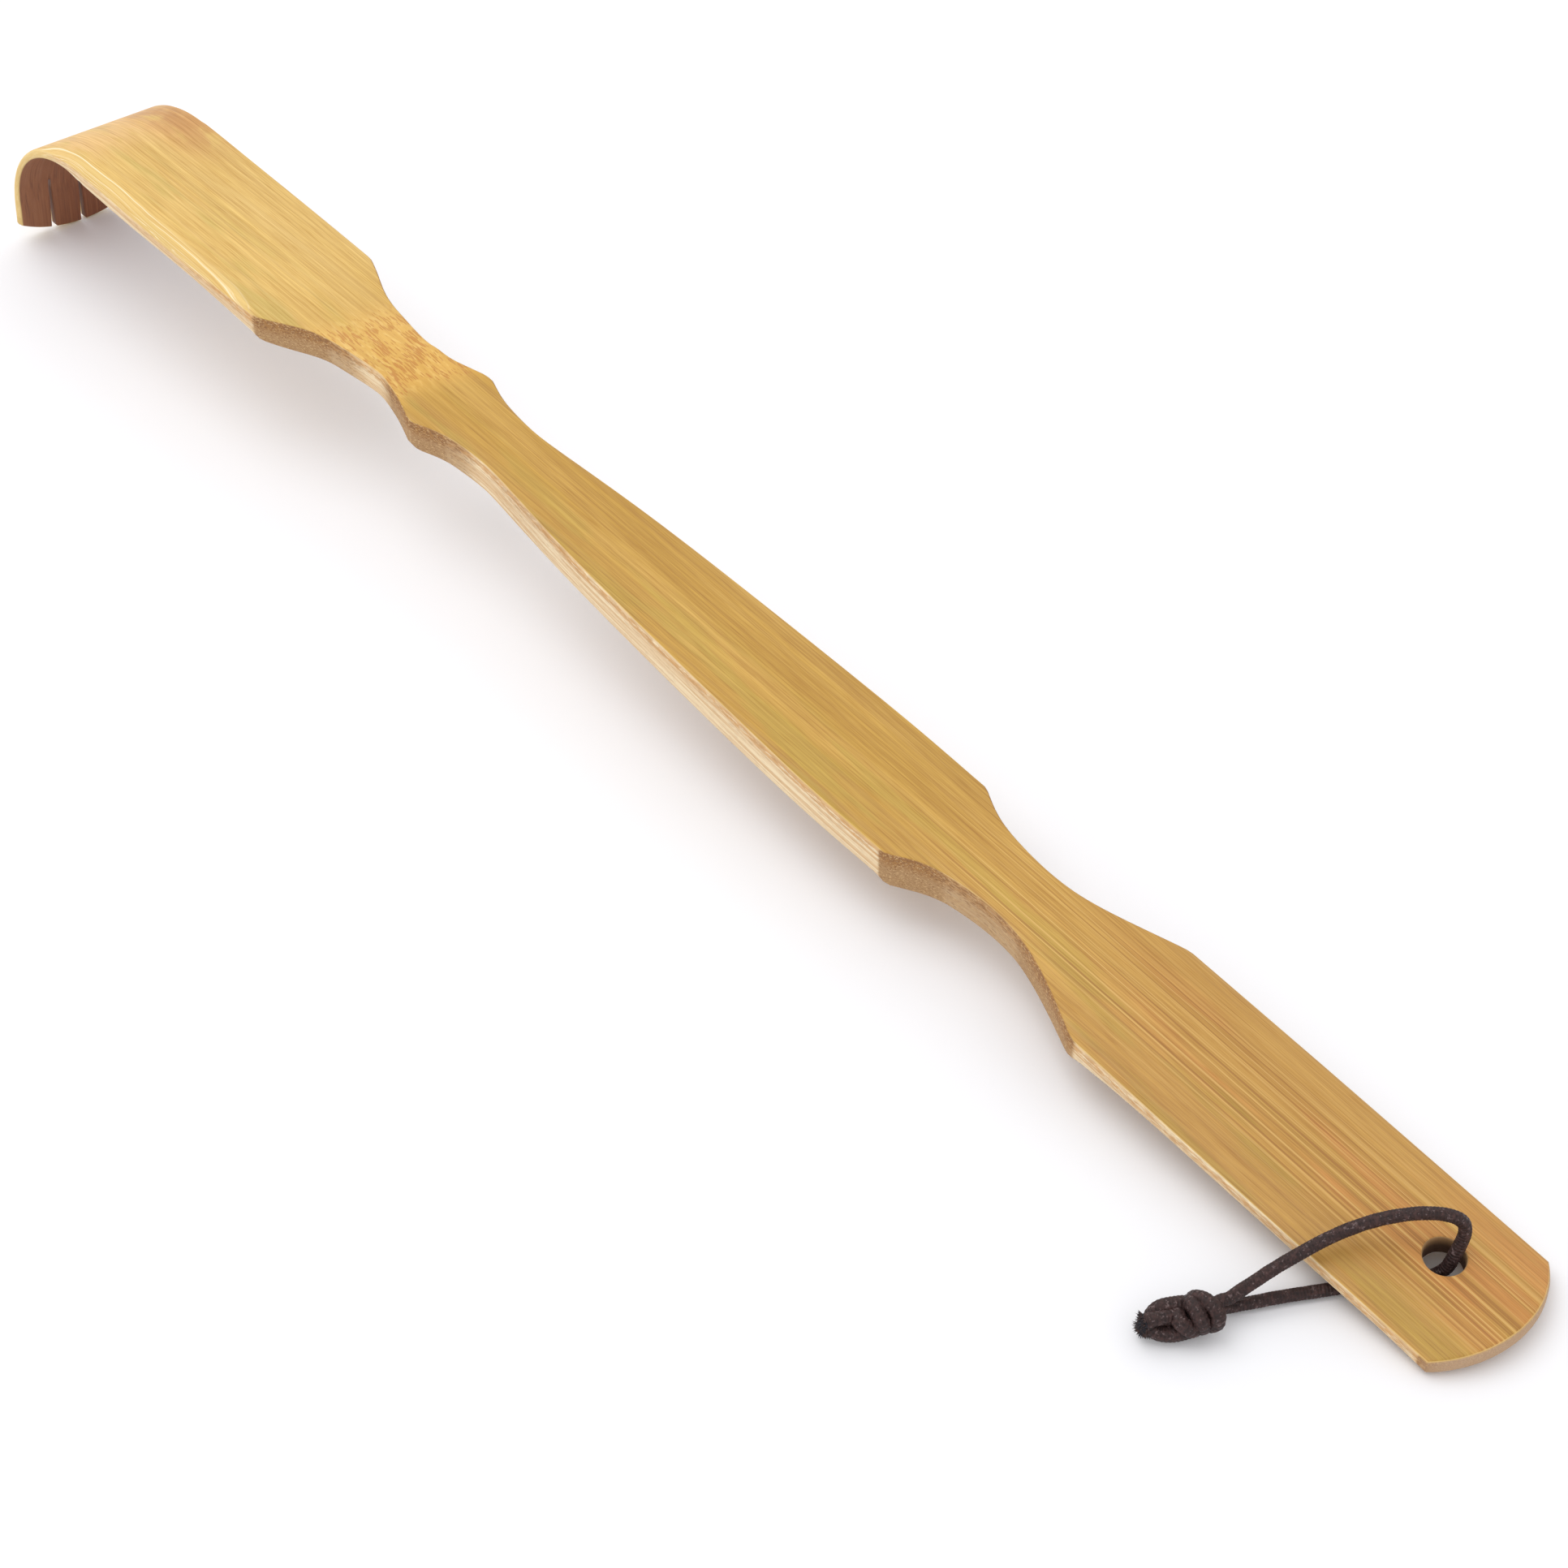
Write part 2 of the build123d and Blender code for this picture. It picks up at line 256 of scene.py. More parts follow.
# ---------- the strip's surfaces
under_edge = smooth_through(HEAD_UNDERSIDE + SHAFT_UNDERSIDE + GRIP_UNDERSIDE + HANDLE_UNDERSIDE)
first_neck = smooth_through([HEAD_CORNER, *FIRST_NECK, BULGE_CORNER])
shaft_side = smooth_through([BULGE_CORNER, *SECOND_NECK, *SHAFT, SHAFT_CORNER])
third_neck = smooth_through([SHAFT_CORNER, *THIRD_NECK, HANDLE_CORNER])


def drawn_half_width(x):
    """Half the strip's width, with its corners still sharp."""
    if x < HEAD_CORNER[0]:
        along = min(max((x - HOOK_END_X) / (HEAD_FULL_WIDTH_X - HOOK_END_X), 0.0), 1.0)
        return HOOK_HALF_WIDTH + (HEAD_CORNER[1] - HOOK_HALF_WIDTH) * along
    if x < BULGE_CORNER[0]:
        return first_neck(x)
    if x < SHAFT_CORNER[0]:
        return shaft_side(x)
    if x < HANDLE_CORNER[0]:
        return third_neck(x)
    along = min((x - HANDLE_CORNER[0]) / (HANDLE_FULL_WIDTH_X - HANDLE_CORNER[0]), 1.0)
    return HANDLE_CORNER[1] + (HANDLE_HALF_WIDTH - HANDLE_CORNER[1]) * along


def half_width(x):
    """Half the strip's width, with its corners rounded."""
    before, after = drawn_half_width(x - CORNER_REACH), drawn_half_width(x + CORNER_REACH)
    return (before + 2 * drawn_half_width(x) + after) / 4


def crown(x):
    """Height of the upper face on the centreline."""
    from_centre = x - BOW_CENTRE_X
    edge = BOW_CENTRE_Z + SLOPE * from_centre + BOW * (1 - (from_centre / BOW_HALF_LENGTH) ** 2)
    return edge + EDGE_HALF_WIDTH ** 2 / (2 * CULM_RADIUS)


def arch(y):
    """How far the upper face has fallen at a distance y from the centreline."""
    return CULM_RADIUS - sqrt(CULM_RADIUS ** 2 - y * y)


def hollow(y):
    """How far the underside is above its edge at a distance y from the centreline."""
    return (EDGE_HALF_WIDTH ** 2 - y * y) / (2 * UNDERSIDE_RADIUS)


BEND_START = atan2(FLAT_SLOPE, 1)  # angles from straight up, turning towards -X
BEND_END = pi / 2 - HOOK_LEAN
BEND_TOP = OUTER_BEND + Vector((-sin(BEND_START), cos(BEND_START))) * OUTER_BEND_RADIUS
CREASE_ZONE_X = (-188.0, -160.0)  # the crease between arch and flat softens from one to the other
CREASE_SOFTNESS = (0.2, 1.6)  # at the bend, and how much more towards the shaft
HALVINGS = 22
BELOW_HEAD_Z = 20.0  # lower than the head's underside everywhere
INSIDE_BEND_RADIUS = 12.0  # inside the bend everywhere


def soft_minimum(first, second, softness):
    """The smaller of two heights, with the crease between them rounded off."""
    near = max(softness - abs(first - second), 0.0) / softness
    return min(first, second) - near * near * softness / 4


def upper_height(x, y):
    """Height of the upper face: the culm's arch, pressed flat towards the bend."""
    flat = BEND_TOP.y + FLAT_SLOPE * (x - BEND_SKEW * y - BEND_TOP.x)
    softness = CREASE_SOFTNESS[0] + CREASE_SOFTNESS[1] * smoothstep(*CREASE_ZONE_X, x)
    return soft_minimum(crown(x) - arch(y), flat, softness)


def underside(x, y):
    """Height of the planed underside."""
    return under_edge(min(x, UNDERSIDE_END_X)) + hollow(y)


def is_below(x, y, z):
    """Whether a place is under the planed underside or inside the hook."""
    if (Vector((x - BEND_SKEW * y, z)) - INNER_BEND).length < INNER_BEND_RADIUS:
        return True
    if x < HEAD_BEND.x:
        return (Vector((x, z - hollow(y))) - HEAD_BEND).length < HEAD_BEND_RADIUS
    return z < underside(x, y)


def farthest_below(start, direction, y, low, high):
    """The last place under the strip along a line (x, z), found by halving."""
    for _ in range(HALVINGS):
        middle = (low + high) / 2
        x, z = start + direction * middle
        low, high = (middle, high) if is_below(x, y, z) else (low, middle)
    return start + direction * low


def lower_height(x, y):
    """Height of the underside, up to where the bend starts."""
    if x > HEAD_ZONE_X:
        return underside(x, y)
    return farthest_below(Vector((x, 0.0)), Vector((0.0, 1.0)), y, BELOW_HEAD_Z, upper_height(x, y)).y


def tip_height(y):
    """Height of the tips of the teeth, which follow an arc."""
    return TIP_ARC_RADIUS - sqrt(TIP_ARC_RADIUS ** 2 - y * y)


def end_x(y):
    """Where the handle's rounded end is, at a distance y from the centreline."""
    sagitta = HANDLE_END_X - END_CORNER_X
    radius = (HANDLE_HALF_WIDTH ** 2 + sagitta ** 2) / (2 * sagitta)
    return HANDLE_END_X - radius + sqrt(radius ** 2 - min(y * y, HANDLE_HALF_WIDTH ** 2))


# ---------- the strip's mesh
UPPER_ROUNDING = 0.9
LOWER_ROUNDING = 2.4
SLIT_ROUNDING = 0.25
EDGE_STEPS = [0.0, 0.08, 0.25, 0.5, 0.8, 1.2, 1.7, 2.3, 3.0, 3.8, 4.6]  # columns and rows near an edge
END_STEPS = EDGE_STEPS[:9]
TIP_STEPS = EDGE_STEPS[:6]
SLIT_STEPS = [0.0, 0.07, 0.16, 0.3]
TOOTH_COLUMNS = [2.1, 3.75, 5.4]  # places across an inner tooth, between the slits' edges
OUTER_COLUMNS = [9.2, 10.2]  # and across an outer tooth
END_ZONE_X = 216.0  # rows are straight before it and bend to the end's arc after it
HEAD_ZONE_X = -160.0  # rows turn askew beyond it, to meet the bend
HOOK_RIM_X = -203.0  # the pale rim is narrower on the hook, where the inside is brown
HOLE_BLOCK_X = (199.5, 215.6)
HOLE_BLOCK_Y = (-8.6, 10.4)
HOLE_STEPS = [0.0, 0.06, 0.18, 0.35, 0.6]
HOLE_ROUNDING = 0.5
WALL_LAYERS = 7
WALL_UNDER = 0.5  # the least that a wall counts as underside
ROW_SPACING = 1.4
ASKEW_ROWS = 20
BEND_ROWS = 34
BLEND_SHARES = (0.75, 0.5, 0.25)
TOOTH_SHARES = (0.12, 0.25, 0.38, 0.5, 0.62, 0.73, 0.82)
FLAT_KINDS = ("end", "blend", "straight", "askew")  # rows between the bend and the handle's end
FAR = 99.0  # stands for no edge near
ANGLE_MARGIN = 1e-6

# Cut sides are less rounded: how much is taken off each rounding's radius where the saw crosses the grain.
CUT_UPPER_LOSS = 0.5
CUT_LOWER_LOSS = 1.9
UPPER_ROUNDING_LIMIT = 0.42  # the most of the thickness that a rounding's radius may be
LOWER_ROUNDING_LIMIT = 0.5
DROP_LIMIT = 0.62  # the most of the thickness that an edge may fall
LEAST_THICKNESS = 0.05
RIM_WIDTH = 0.7  # how far the side's colour can reach onto the upper face
HOOK_RIM_WIDTH = 0.8  # and onto the inside of the hook; off the hook it grows with the lower rounding
HOOK_RIM_LOSS = 0.4  # how much less than that rounding it grows
HOOK_RIM_FADE = 35  # the length along X over which it grows

# The worn bevel: where it begins and ends along the head, its width, and the depths of its three layers.
FACET_BEGINS = (-211, -192)
FACET_ENDS = (-158, -121)
FACET_WIDTH = 3.7
FACET_DEPTHS = (1.15, 0.55, 0.35)

NODE_TILT = 0.06  # how far the joint leans along X for each step along Y
NODE_HEIGHT = 0.34
NODE_WIDTH = 1.9
DIP_DEPTH = 0.12
DIP_WIDTH = 2.4
DIP_DISTANCE = 4.5  # from the joint's ridge

TEETH_ALONG = 55  # the teeth count as cut across the grain from this far past the bend's top
END_CUT = (0.3, 3.0)  # and the handle's end does so fully from 3 mm past the end of its straight rows
SLOPE_STEP = 0.7  # for measuring the outline's slope
SLOPE_GAIN = 1.9
NECK_CUT = 0.34  # the least in the middle of a neck
NECK_FADES = (5, 14)  # lengths over which that fades in and out


def column_offsets(width, slit):
    """Places across the strip: close together at both edges and at the three slits."""
    edge = [width - step for step in EDGE_STEPS]
    scale = edge[-1] / (HOOK_HALF_WIDTH - EDGE_STEPS[-1])
    slit_edges = [slit / 2 + step for step in SLIT_STEPS]
    half = [offset * scale for offset in slit_edges + TOOTH_COLUMNS]
    half += [(SLIT_PITCH - offset) * scale for offset in reversed(slit_edges)]
    half += [(SLIT_PITCH + offset) * scale for offset in slit_edges]
    half += [offset * scale for offset in OUTER_COLUMNS] + edge[::-1]
    return np.array([-y for y in reversed(half)] + half)


HALF_COLUMNS = 3 * len(SLIT_STEPS) + len(TOOTH_COLUMNS) + len(OUTER_COLUMNS) + len(EDGE_STEPS)
CENTRE_SLIT = HALF_COLUMNS - 1
SIDE_SLIT = 2 * len(SLIT_STEPS) + len(TOOTH_COLUMNS)  # cells from the centre slit to a side slit
SLIT_CELLS = (CENTRE_SLIT - SIDE_SLIT, CENTRE_SLIT, CENTRE_SLIT + SIDE_SLIT)


def facet(x, y, distance):
    """The worn bevel along the head's near upper edge, in uneven layers."""
    if y > 0:
        return 0.0
    length = smoothstep(*FACET_BEGINS, x) * (1 - smoothstep(*FACET_ENDS, x) ** 1.5)
    width = FACET_WIDTH + 0.7 * ripple(x / 19, 3.1) + 0.25 * ripple(x / 5, 8.7)
    inner = max(0.0, 1 - distance / width)
    middle = max(0.0, 1 - distance / (0.62 * width + 0.3 * ripple(x / 11, 4.4)))
    outer = max(0.0, 1 - distance / (0.3 * width))
    return sum(depth * layer for depth, layer in zip(FACET_DEPTHS, (inner, middle, outer))) * length


def node_ridge(x, y):
    """The culm's joint: a low uneven ridge, with a shallow dip on its handle side."""
    from_node = x - NODE_X - NODE_TILT * y - 0.9 * ripple(y / 3, 1.7)
    dip = DIP_DEPTH * exp(-((from_node - DIP_DISTANCE) / DIP_WIDTH) ** 2)
    return NODE_HEIGHT * exp(-(from_node / NODE_WIDTH) ** 2) - dip


def straight_point(x, y):
    """Upper and lower points of the strip between the bend and the handle's end, and the way up."""
    upper = Vector((x, y, upper_height(x, y) + node_ridge(x, y)))
    lower = Vector((x, y, max(lower_height(x, y), 0.0) + 0.6 * node_ridge(x, y)))
    return upper, lower, Vector((0, 0, 1))


def bend_point(angle, y):
    """Upper and lower points of the strip in the bend, and the way out of its upper face."""
    direction = Vector((-sin(angle), cos(angle)))
    centre = OUTER_BEND + Vector((BEND_SKEW * y, 0))
    outer = centre + direction * OUTER_BEND_RADIUS
    inner = farthest_below(centre, direction, y, INSIDE_BEND_RADIUS, OUTER_BEND_RADIUS)
    upper, lower = Vector((outer.x, y, outer.y)), Vector((inner.x, y, inner.y))
    return upper, lower, Vector((direction.x, 0, direction.y))


def tooth_point(share, y):
    """The same for the straight teeth, at a share of the way from the bend's end to the tips."""
    upper, lower, normal = bend_point(BEND_END, y)
    down = Vector((-sin(HOOK_LEAN), 0, -cos(HOOK_LEAN)))
    tip = tip_height(y)
    upper_reach = (upper.z - tip) / cos(HOOK_LEAN)
    lower_reach = (lower.z - tip) / cos(HOOK_LEAN)
    return upper + down * (upper_reach * share), lower + down * (lower_reach * share), normal


def row_places():
    """Every row across the strip, from the handle's end to the tips: (kind, value)."""
    rows = [("end", step) for step in END_STEPS]
    rows += [("blend", share) for share in BLEND_SHARES]
    rows += [("straight", x) for x in np.arange(END_ZONE_X, HEAD_ZONE_X, -ROW_SPACING)]
    rows += [("askew", share) for share in np.linspace(0, 1, ASKEW_ROWS, endpoint=False)]
    rows += [("bend", angle) for angle in np.linspace(BEND_START, slit_root_angle(), BEND_ROWS)]
    rows += [("bend", (slit_root_angle() + BEND_END) / 2), ("bend", BEND_END)]
    rows += [("tooth", share) for share in TOOTH_SHARES]
    rows += [("tip", step) for step in reversed(TIP_STEPS)]
    return rows


def slit_root_angle():
    """The bend angle at which the slits start."""
    return acos((SLIT_TOP_Z - OUTER_BEND.y) / OUTER_BEND_RADIUS)


def past_slit_roots(kind, value):
    """Whether a row crosses the slits."""
    return kind in ("tooth", "tip") or (kind == "bend" and value >= slit_root_angle() - ANGLE_MARGIN)


def tooth_length():
    """Length of the straight part of the teeth, measured at the middle of the strip."""
    upper, _, _ = bend_point(BEND_END, 0)
    return upper.z / cos(HOOK_LEAN)


def row_points(kind, value):
    """The points of one row: for each column the upper and lower point, the way out of the upper
    face, the places along and across the grain, and the distances to the side and to the tip."""
    length = tooth_length()
    share = value if kind == "tooth" else (1 - value / length if kind == "tip" else 0.0)
    if kind in FLAT_KINDS:
        width, slit = HANDLE_HALF_WIDTH, SLIT_ROOT_WIDTH
        if kind == "straight":
            width = half_width(value)
        if kind == "askew":
            width = half_width(HEAD_ZONE_X + (BEND_TOP.x - HEAD_ZONE_X) * value)
    else:
        width = half_width(HOOK_WIDTH_X)
        slit = SLIT_ROOT_WIDTH + (SLIT_TIP_WIDTH - SLIT_ROOT_WIDTH) * share
        slit += SLIT_FLARE * max(0.0, share - FLARE_START) / FLARE_LENGTH
        width -= TIP_CORNER_CUT * (max(0.0, share - TIP_CORNER_START) / TIP_CORNER_LENGTH) ** 2
    points = []
    for y in column_offsets(width, slit):
        tip_distance = FAR
        if kind == "end":
            x = end_x(y) - value
            tip_distance = value
        elif kind == "blend":
            x = END_ZONE_X + (end_x(y) - END_STEPS[-1] - END_ZONE_X) * value
            tip_distance = end_x(y) - x
        elif kind == "straight":
            x = value
            tip_distance = end_x(y) - x
        elif kind == "askew":
            x = HEAD_ZONE_X + (BEND_TOP.x + BEND_SKEW * y - HEAD_ZONE_X) * value
        if kind in FLAT_KINDS:
            upper, lower, normal = straight_point(x, y)
            along = x
        elif kind == "bend":
            upper, lower, normal = bend_point(value, y)
            along = BEND_TOP.x + BEND_SKEW * y - (value - BEND_START) * (OUTER_BEND_RADIUS - 1)
            tip_distance = length
        else:
            upper, lower, normal = tooth_point(share, y)
            bend_length = (BEND_END - BEND_START) * (OUTER_BEND_RADIUS - 1)
            along = BEND_TOP.x + BEND_SKEW * y - bend_length - share * length
            tip_distance = length * (1 - share)
        points.append((upper, lower, normal, along, y, width - abs(y), tip_distance))
    return points


def build_strip():
    """The strip as one closed mesh, with the places along and across the grain kept for its material."""
    kinds = row_places()
    rows = [row_points(kind, value) for kind, value in kinds]
    columns = 2 * HALF_COLUMNS
    vertices, grain, rim, under = [], [], [], []

    def keep(place, along, across, depth, rim_share, below):
        on_table = Vector((place.x + CENTRING, place.y, max(place.z, 0.0)))
        vertices.append(on_table * MM)
        grain.append((along, across, depth))
        rim.append(rim_share)
        under.append(below)
        return len(vertices) - 1

    def slit_distance(row, column):
        steps = min(min(abs(column - cell), abs(column - cell - 1)) for cell in SLIT_CELLS)
        return SLIT_STEPS[steps] if past_slit_roots(*kinds[row]) and steps < len(SLIT_STEPS) else FAR

    upper_index = np.zeros((len(rows), columns), int)
    lower_index = np.zeros((len(rows), columns), int)
    for i, row in enumerate(rows):
        for j, (upper, lower, normal, along, y, side, tip) in enumerate(row):
            thickness = (upper - lower).length
            slit = slit_distance(i, j)
            cut = saw_angle(along, y) if kinds[i][0] == "straight" else 0.0
            top_radius = min(UPPER_ROUNDING - CUT_UPPER_LOSS * cut, UPPER_ROUNDING_LIMIT * thickness)
            low_radius = min(LOWER_ROUNDING - CUT_LOWER_LOSS * cut, LOWER_ROUNDING_LIMIT * thickness)
            bevel = facet(upper.x, y, side)
            drop = max(
                rounding(side, top_radius) + bevel,
                rounding(tip, top_radius),
                rounding(slit, SLIT_ROUNDING),
            )
            lift = max(
                rounding(side, low_radius),
                rounding(tip, low_radius),
                rounding(slit, SLIT_ROUNDING),
            )
            drop = min(drop, DROP_LIMIT * thickness)
            lift = min(lift, thickness - drop - LEAST_THICKNESS)
            edge_share = max(1 - side / RIM_WIDTH, 1 - tip / RIM_WIDTH, 0.0)
            off_hook = smoothstep(HOOK_RIM_X, HOOK_RIM_X + HOOK_RIM_FADE, upper.x)
            low_reach = HOOK_RIM_WIDTH + (low_radius - HOOK_RIM_LOSS) * off_hook
            low_share = max(1 - min(side, tip) / low_reach, 0.0)
            upper_index[i, j] = keep(upper - normal * drop, along, y, drop, edge_share, 0.0)
            lower_index[i, j] = keep(lower + normal * lift, along, y, thickness - lift, low_share, 1.0)

    def in_hole_block(i, j):
        xs = [rows[i][j][0].x, rows[i + 1][j][0].x]
        ys = [rows[i][j][4], rows[i][j + 1][4]]
        inside_x = min(xs) > HOLE_BLOCK_X[0] and max(xs) < HOLE_BLOCK_X[1]
        return inside_x and min(ys) > HOLE_BLOCK_Y[0] and max(ys) < HOLE_BLOCK_Y[1]

    faces = []
    hole_cells = set()
    for i in range(len(rows) - 1):
        for j in range(columns - 1):
            if in_hole_block(i, j):
                hole_cells.add((i, j))
                continue
            if j in SLIT_CELLS and past_slit_roots(*kinds[i]):
                continue
            a, b = (i, j), (i, j + 1)
            c, d = (i + 1, j + 1), (i + 1, j)
            faces.append(tuple(int(upper_index[p]) for p in (a, b, c, d)))
            faces.append(tuple(int(lower_index[p]) for p in (d, c, b, a)))

    twin = {int(upper_index[p]): int(lower_index[p]) for p in np.ndindex(upper_index.shape)}
    faces += hole_faces(rows, hole_cells, upper_index, lower_index, keep, twin)
    add_walls(vertices, grain, rim, faces, twin, keep)
    return vertices, faces, grain, rim, under


def hole_faces(rows, cells, upper_index, lower_index, keep, twin):
    """Rings of faces from the edge of a block of removed cells to the hole's rounded rim."""
    i_values = [i for i, _ in cells]
    j_values = [j for _, j in cells]
    i0, i1 = min(i_values), max(i_values) + 1
    j0, j1 = min(j_values), max(j_values) + 1
    loop = [(i0, j) for j in range(j0, j1)] + [(i, j1) for i in range(i0, i1)]
    loop += [(i1, j) for j in range(j1, j0, -1)] + [(i, j0) for i in range(i1, i0, -1)]
    rings = [[(int(upper_index[p]), int(lower_index[p])) for p in loop]]
    centre_x = HOLE_X - CENTRING
    targets = [("share", share) for share in (0.25, 0.5, 0.75)]
    targets += [("step", step) for step in reversed(HOLE_STEPS)]
    for kind, value in targets:
        ring = []
        for i, j in loop:
            x, y = rows[i][j][0].x, rows[i][j][4]
            angle = atan2(y - HOLE_Y, x - centre_x)
            outer = sqrt((y - HOLE_Y) ** 2 + (x - centre_x) ** 2)
            inner = HOLE_RADIUS + HOLE_STEPS[-1]
            radius = outer + (inner - outer) * value if kind == "share" else HOLE_RADIUS + value
            from_rim = radius - HOLE_RADIUS
            px = centre_x + radius * cos(angle)
            py = HOLE_Y + radius * sin(angle)
            upper, lower, normal = straight_point(px, py)
            drop = rounding(from_rim, HOLE_ROUNDING)
            thickness = upper.z - lower.z
            rim_share = max(0.0, 1 - from_rim / HOLE_ROUNDING)
            top = keep(upper - normal * drop, px, py, drop, rim_share, 0.0)
            low = keep(lower + normal * drop, px, py, thickness - drop, rim_share, 1.0)
            twin[top] = low
            ring.append((top, low))
        rings.append(ring)
    faces = []
    for outer, inner in zip(rings, rings[1:]):
        for k in range(len(outer)):
            n = (k + 1) % len(outer)
            faces.append((outer[n][0], inner[n][0], inner[k][0], outer[k][0]))
            faces.append((outer[k][1], inner[k][1], inner[n][1], outer[n][1]))
    return faces


def add_walls(vertices, grain, rim, faces, twin, keep):
    """Closes the strip: a wall from every open edge of the upper sheet down to its twin below."""
    around = [(a, b) for face in faces for a, b in zip(face, face[1:] + face[:1])]
    edges = dict.fromkeys((a, b) for a, b in around if a in twin and b in twin)
    open_edges = [(a, b) for a, b in edges if (b, a) not in edges]
    ladders = {}
    for a, b in open_edges:
        for top in (a, b):
            if top in ladders:
                continue
            low = twin[top]
            ladder = [top]
            for layer in range(1, WALL_LAYERS):
                share = layer / WALL_LAYERS
                place = vertices[top].lerp(vertices[low], share) / MM - Vector((CENTRING, 0, 0))
                along, across, top_depth = grain[top]
                depth = top_depth + (grain[low][2] - top_depth) * share
                ladder.append(keep(place, along, across, depth, rim[top], max(share, WALL_UNDER)))
            ladders[top] = ladder + [low]
    for a, b in open_edges:
        for k in range(WALL_LAYERS):
            faces.append((ladders[b][k], ladders[a][k], ladders[a][k + 1], ladders[b][k + 1]))


def drop_unused_vertices(mesh):
    shape = bmesh.new()
    shape.from_mesh(mesh)
    unused = [vertex for vertex in shape.verts if not vertex.link_faces]
    bmesh.ops.delete(shape, geom=unused, context="VERTS")
    shape.to_mesh(mesh)
    shape.free()


def make_strip(material):
    vertices, faces, grain, rim, under = build_strip()
    mesh = bpy.data.meshes.new("bamboo_strip")
    mesh.from_pydata(vertices, [], faces)
    places = mesh.attributes.new("grain", "FLOAT_VECTOR", "POINT")
    places.data.foreach_set("vector", np.array(grain, np.float32).ravel())
    oblique = [saw_angle(along, across) for along, across, _ in grain]
    for name, numbers in (("rim", rim), ("under", under), ("oblique", oblique)):
        layer = mesh.attributes.new(name, "FLOAT", "POINT")
        layer.data.foreach_set("value", np.array(numbers, np.float32))
    drop_unused_vertices(mesh)
    strip = fresh_object("bamboo_strip", mesh, material)
    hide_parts("bamboo_body")


def saw_angle(along, across):
    """How squarely the sawn outline crosses the grain near this place: 0 along it, 1 across it."""
    if along < BEND_TOP.x - TEETH_ALONG:
        return 1.0
    if along > END_ZONE_X:
        return smoothstep(*END_CUT, along - END_ZONE_X)
    if sqrt((along - HOLE_X) ** 2 + (across - HOLE_Y) ** 2) < HOLE_RADIUS + 1:
        return abs(along - HOLE_X) / HOLE_RADIUS
    widths = [half_width(along + step) for step in (-SLOPE_STEP, 0.0, SLOPE_STEP)]
    slope = max(abs(width - widths[1]) for width in widths) / SLOPE_STEP
    fade_in, fade_out = NECK_FADES
    in_neck = max(
        smoothstep(start, start + fade_in, along) * (1 - smoothstep(end - fade_out, end, along))
        for start, end in NECKS
    )
    return min(1.0, max(SLOPE_GAIN * slope, NECK_CUT * in_neck))


# ---------- the cord, knot and cut ends
def route_points(points, resolution=16):
    """Points along the smooth line of a route, read back from its NURBS spline, in metres."""
    curve = bpy.data.curves.new("route", "CURVE")
    curve.dimensions = "3D"
    spline = curve.splines.new("NURBS")
    spline.points.add(len(points) - 1)
    for control, place in zip(spline.points, points):
        control.co = (*(Vector(place) * MM), 1.0)
    spline.order_u = 3
    spline.use_endpoint_u = True
    spline.resolution_u = resolution
    carrier = bpy.data.objects.new("route", curve)
    line = bpy.data.meshes.new_from_object(carrier)
    places = [vertex.co.copy() for vertex in line.vertices]
    bpy.data.objects.remove(carrier)
    bpy.data.curves.remove(curve)
    bpy.data.meshes.remove(line)
    return places


def evenly(places, spacing):
    """The same line with points a fixed distance apart."""
    lengths = np.cumsum([0.0] + [(b - a).length for a, b in zip(places, places[1:])])
    count = max(2, ceil(lengths[-1] / spacing))
    wanted = np.linspace(0, lengths[-1], count + 1)
    axes = [np.interp(wanted, lengths, [place[k] for place in places]) for k in range(3)]
    return [Vector(place) for place in zip(*axes)]


GOLDEN_ANGLE = 2.39996
BRAID_AROUND = 28
BRAID_SPACING = 0.13 * MM
BRAID_PITCH = 5.2 * MM
BRAID_STRANDS = 8
BRAID_DEPTH = 0.085  # relief of the braid, as a share of the cord's radius
LUMP_SIZE = 0.05  # unevenness of the cord, as a share of its radius
LUMP_LENGTH = 1.9
CUT_RELIEF = -1.0  # marks the singed fibres of a cut end for the material


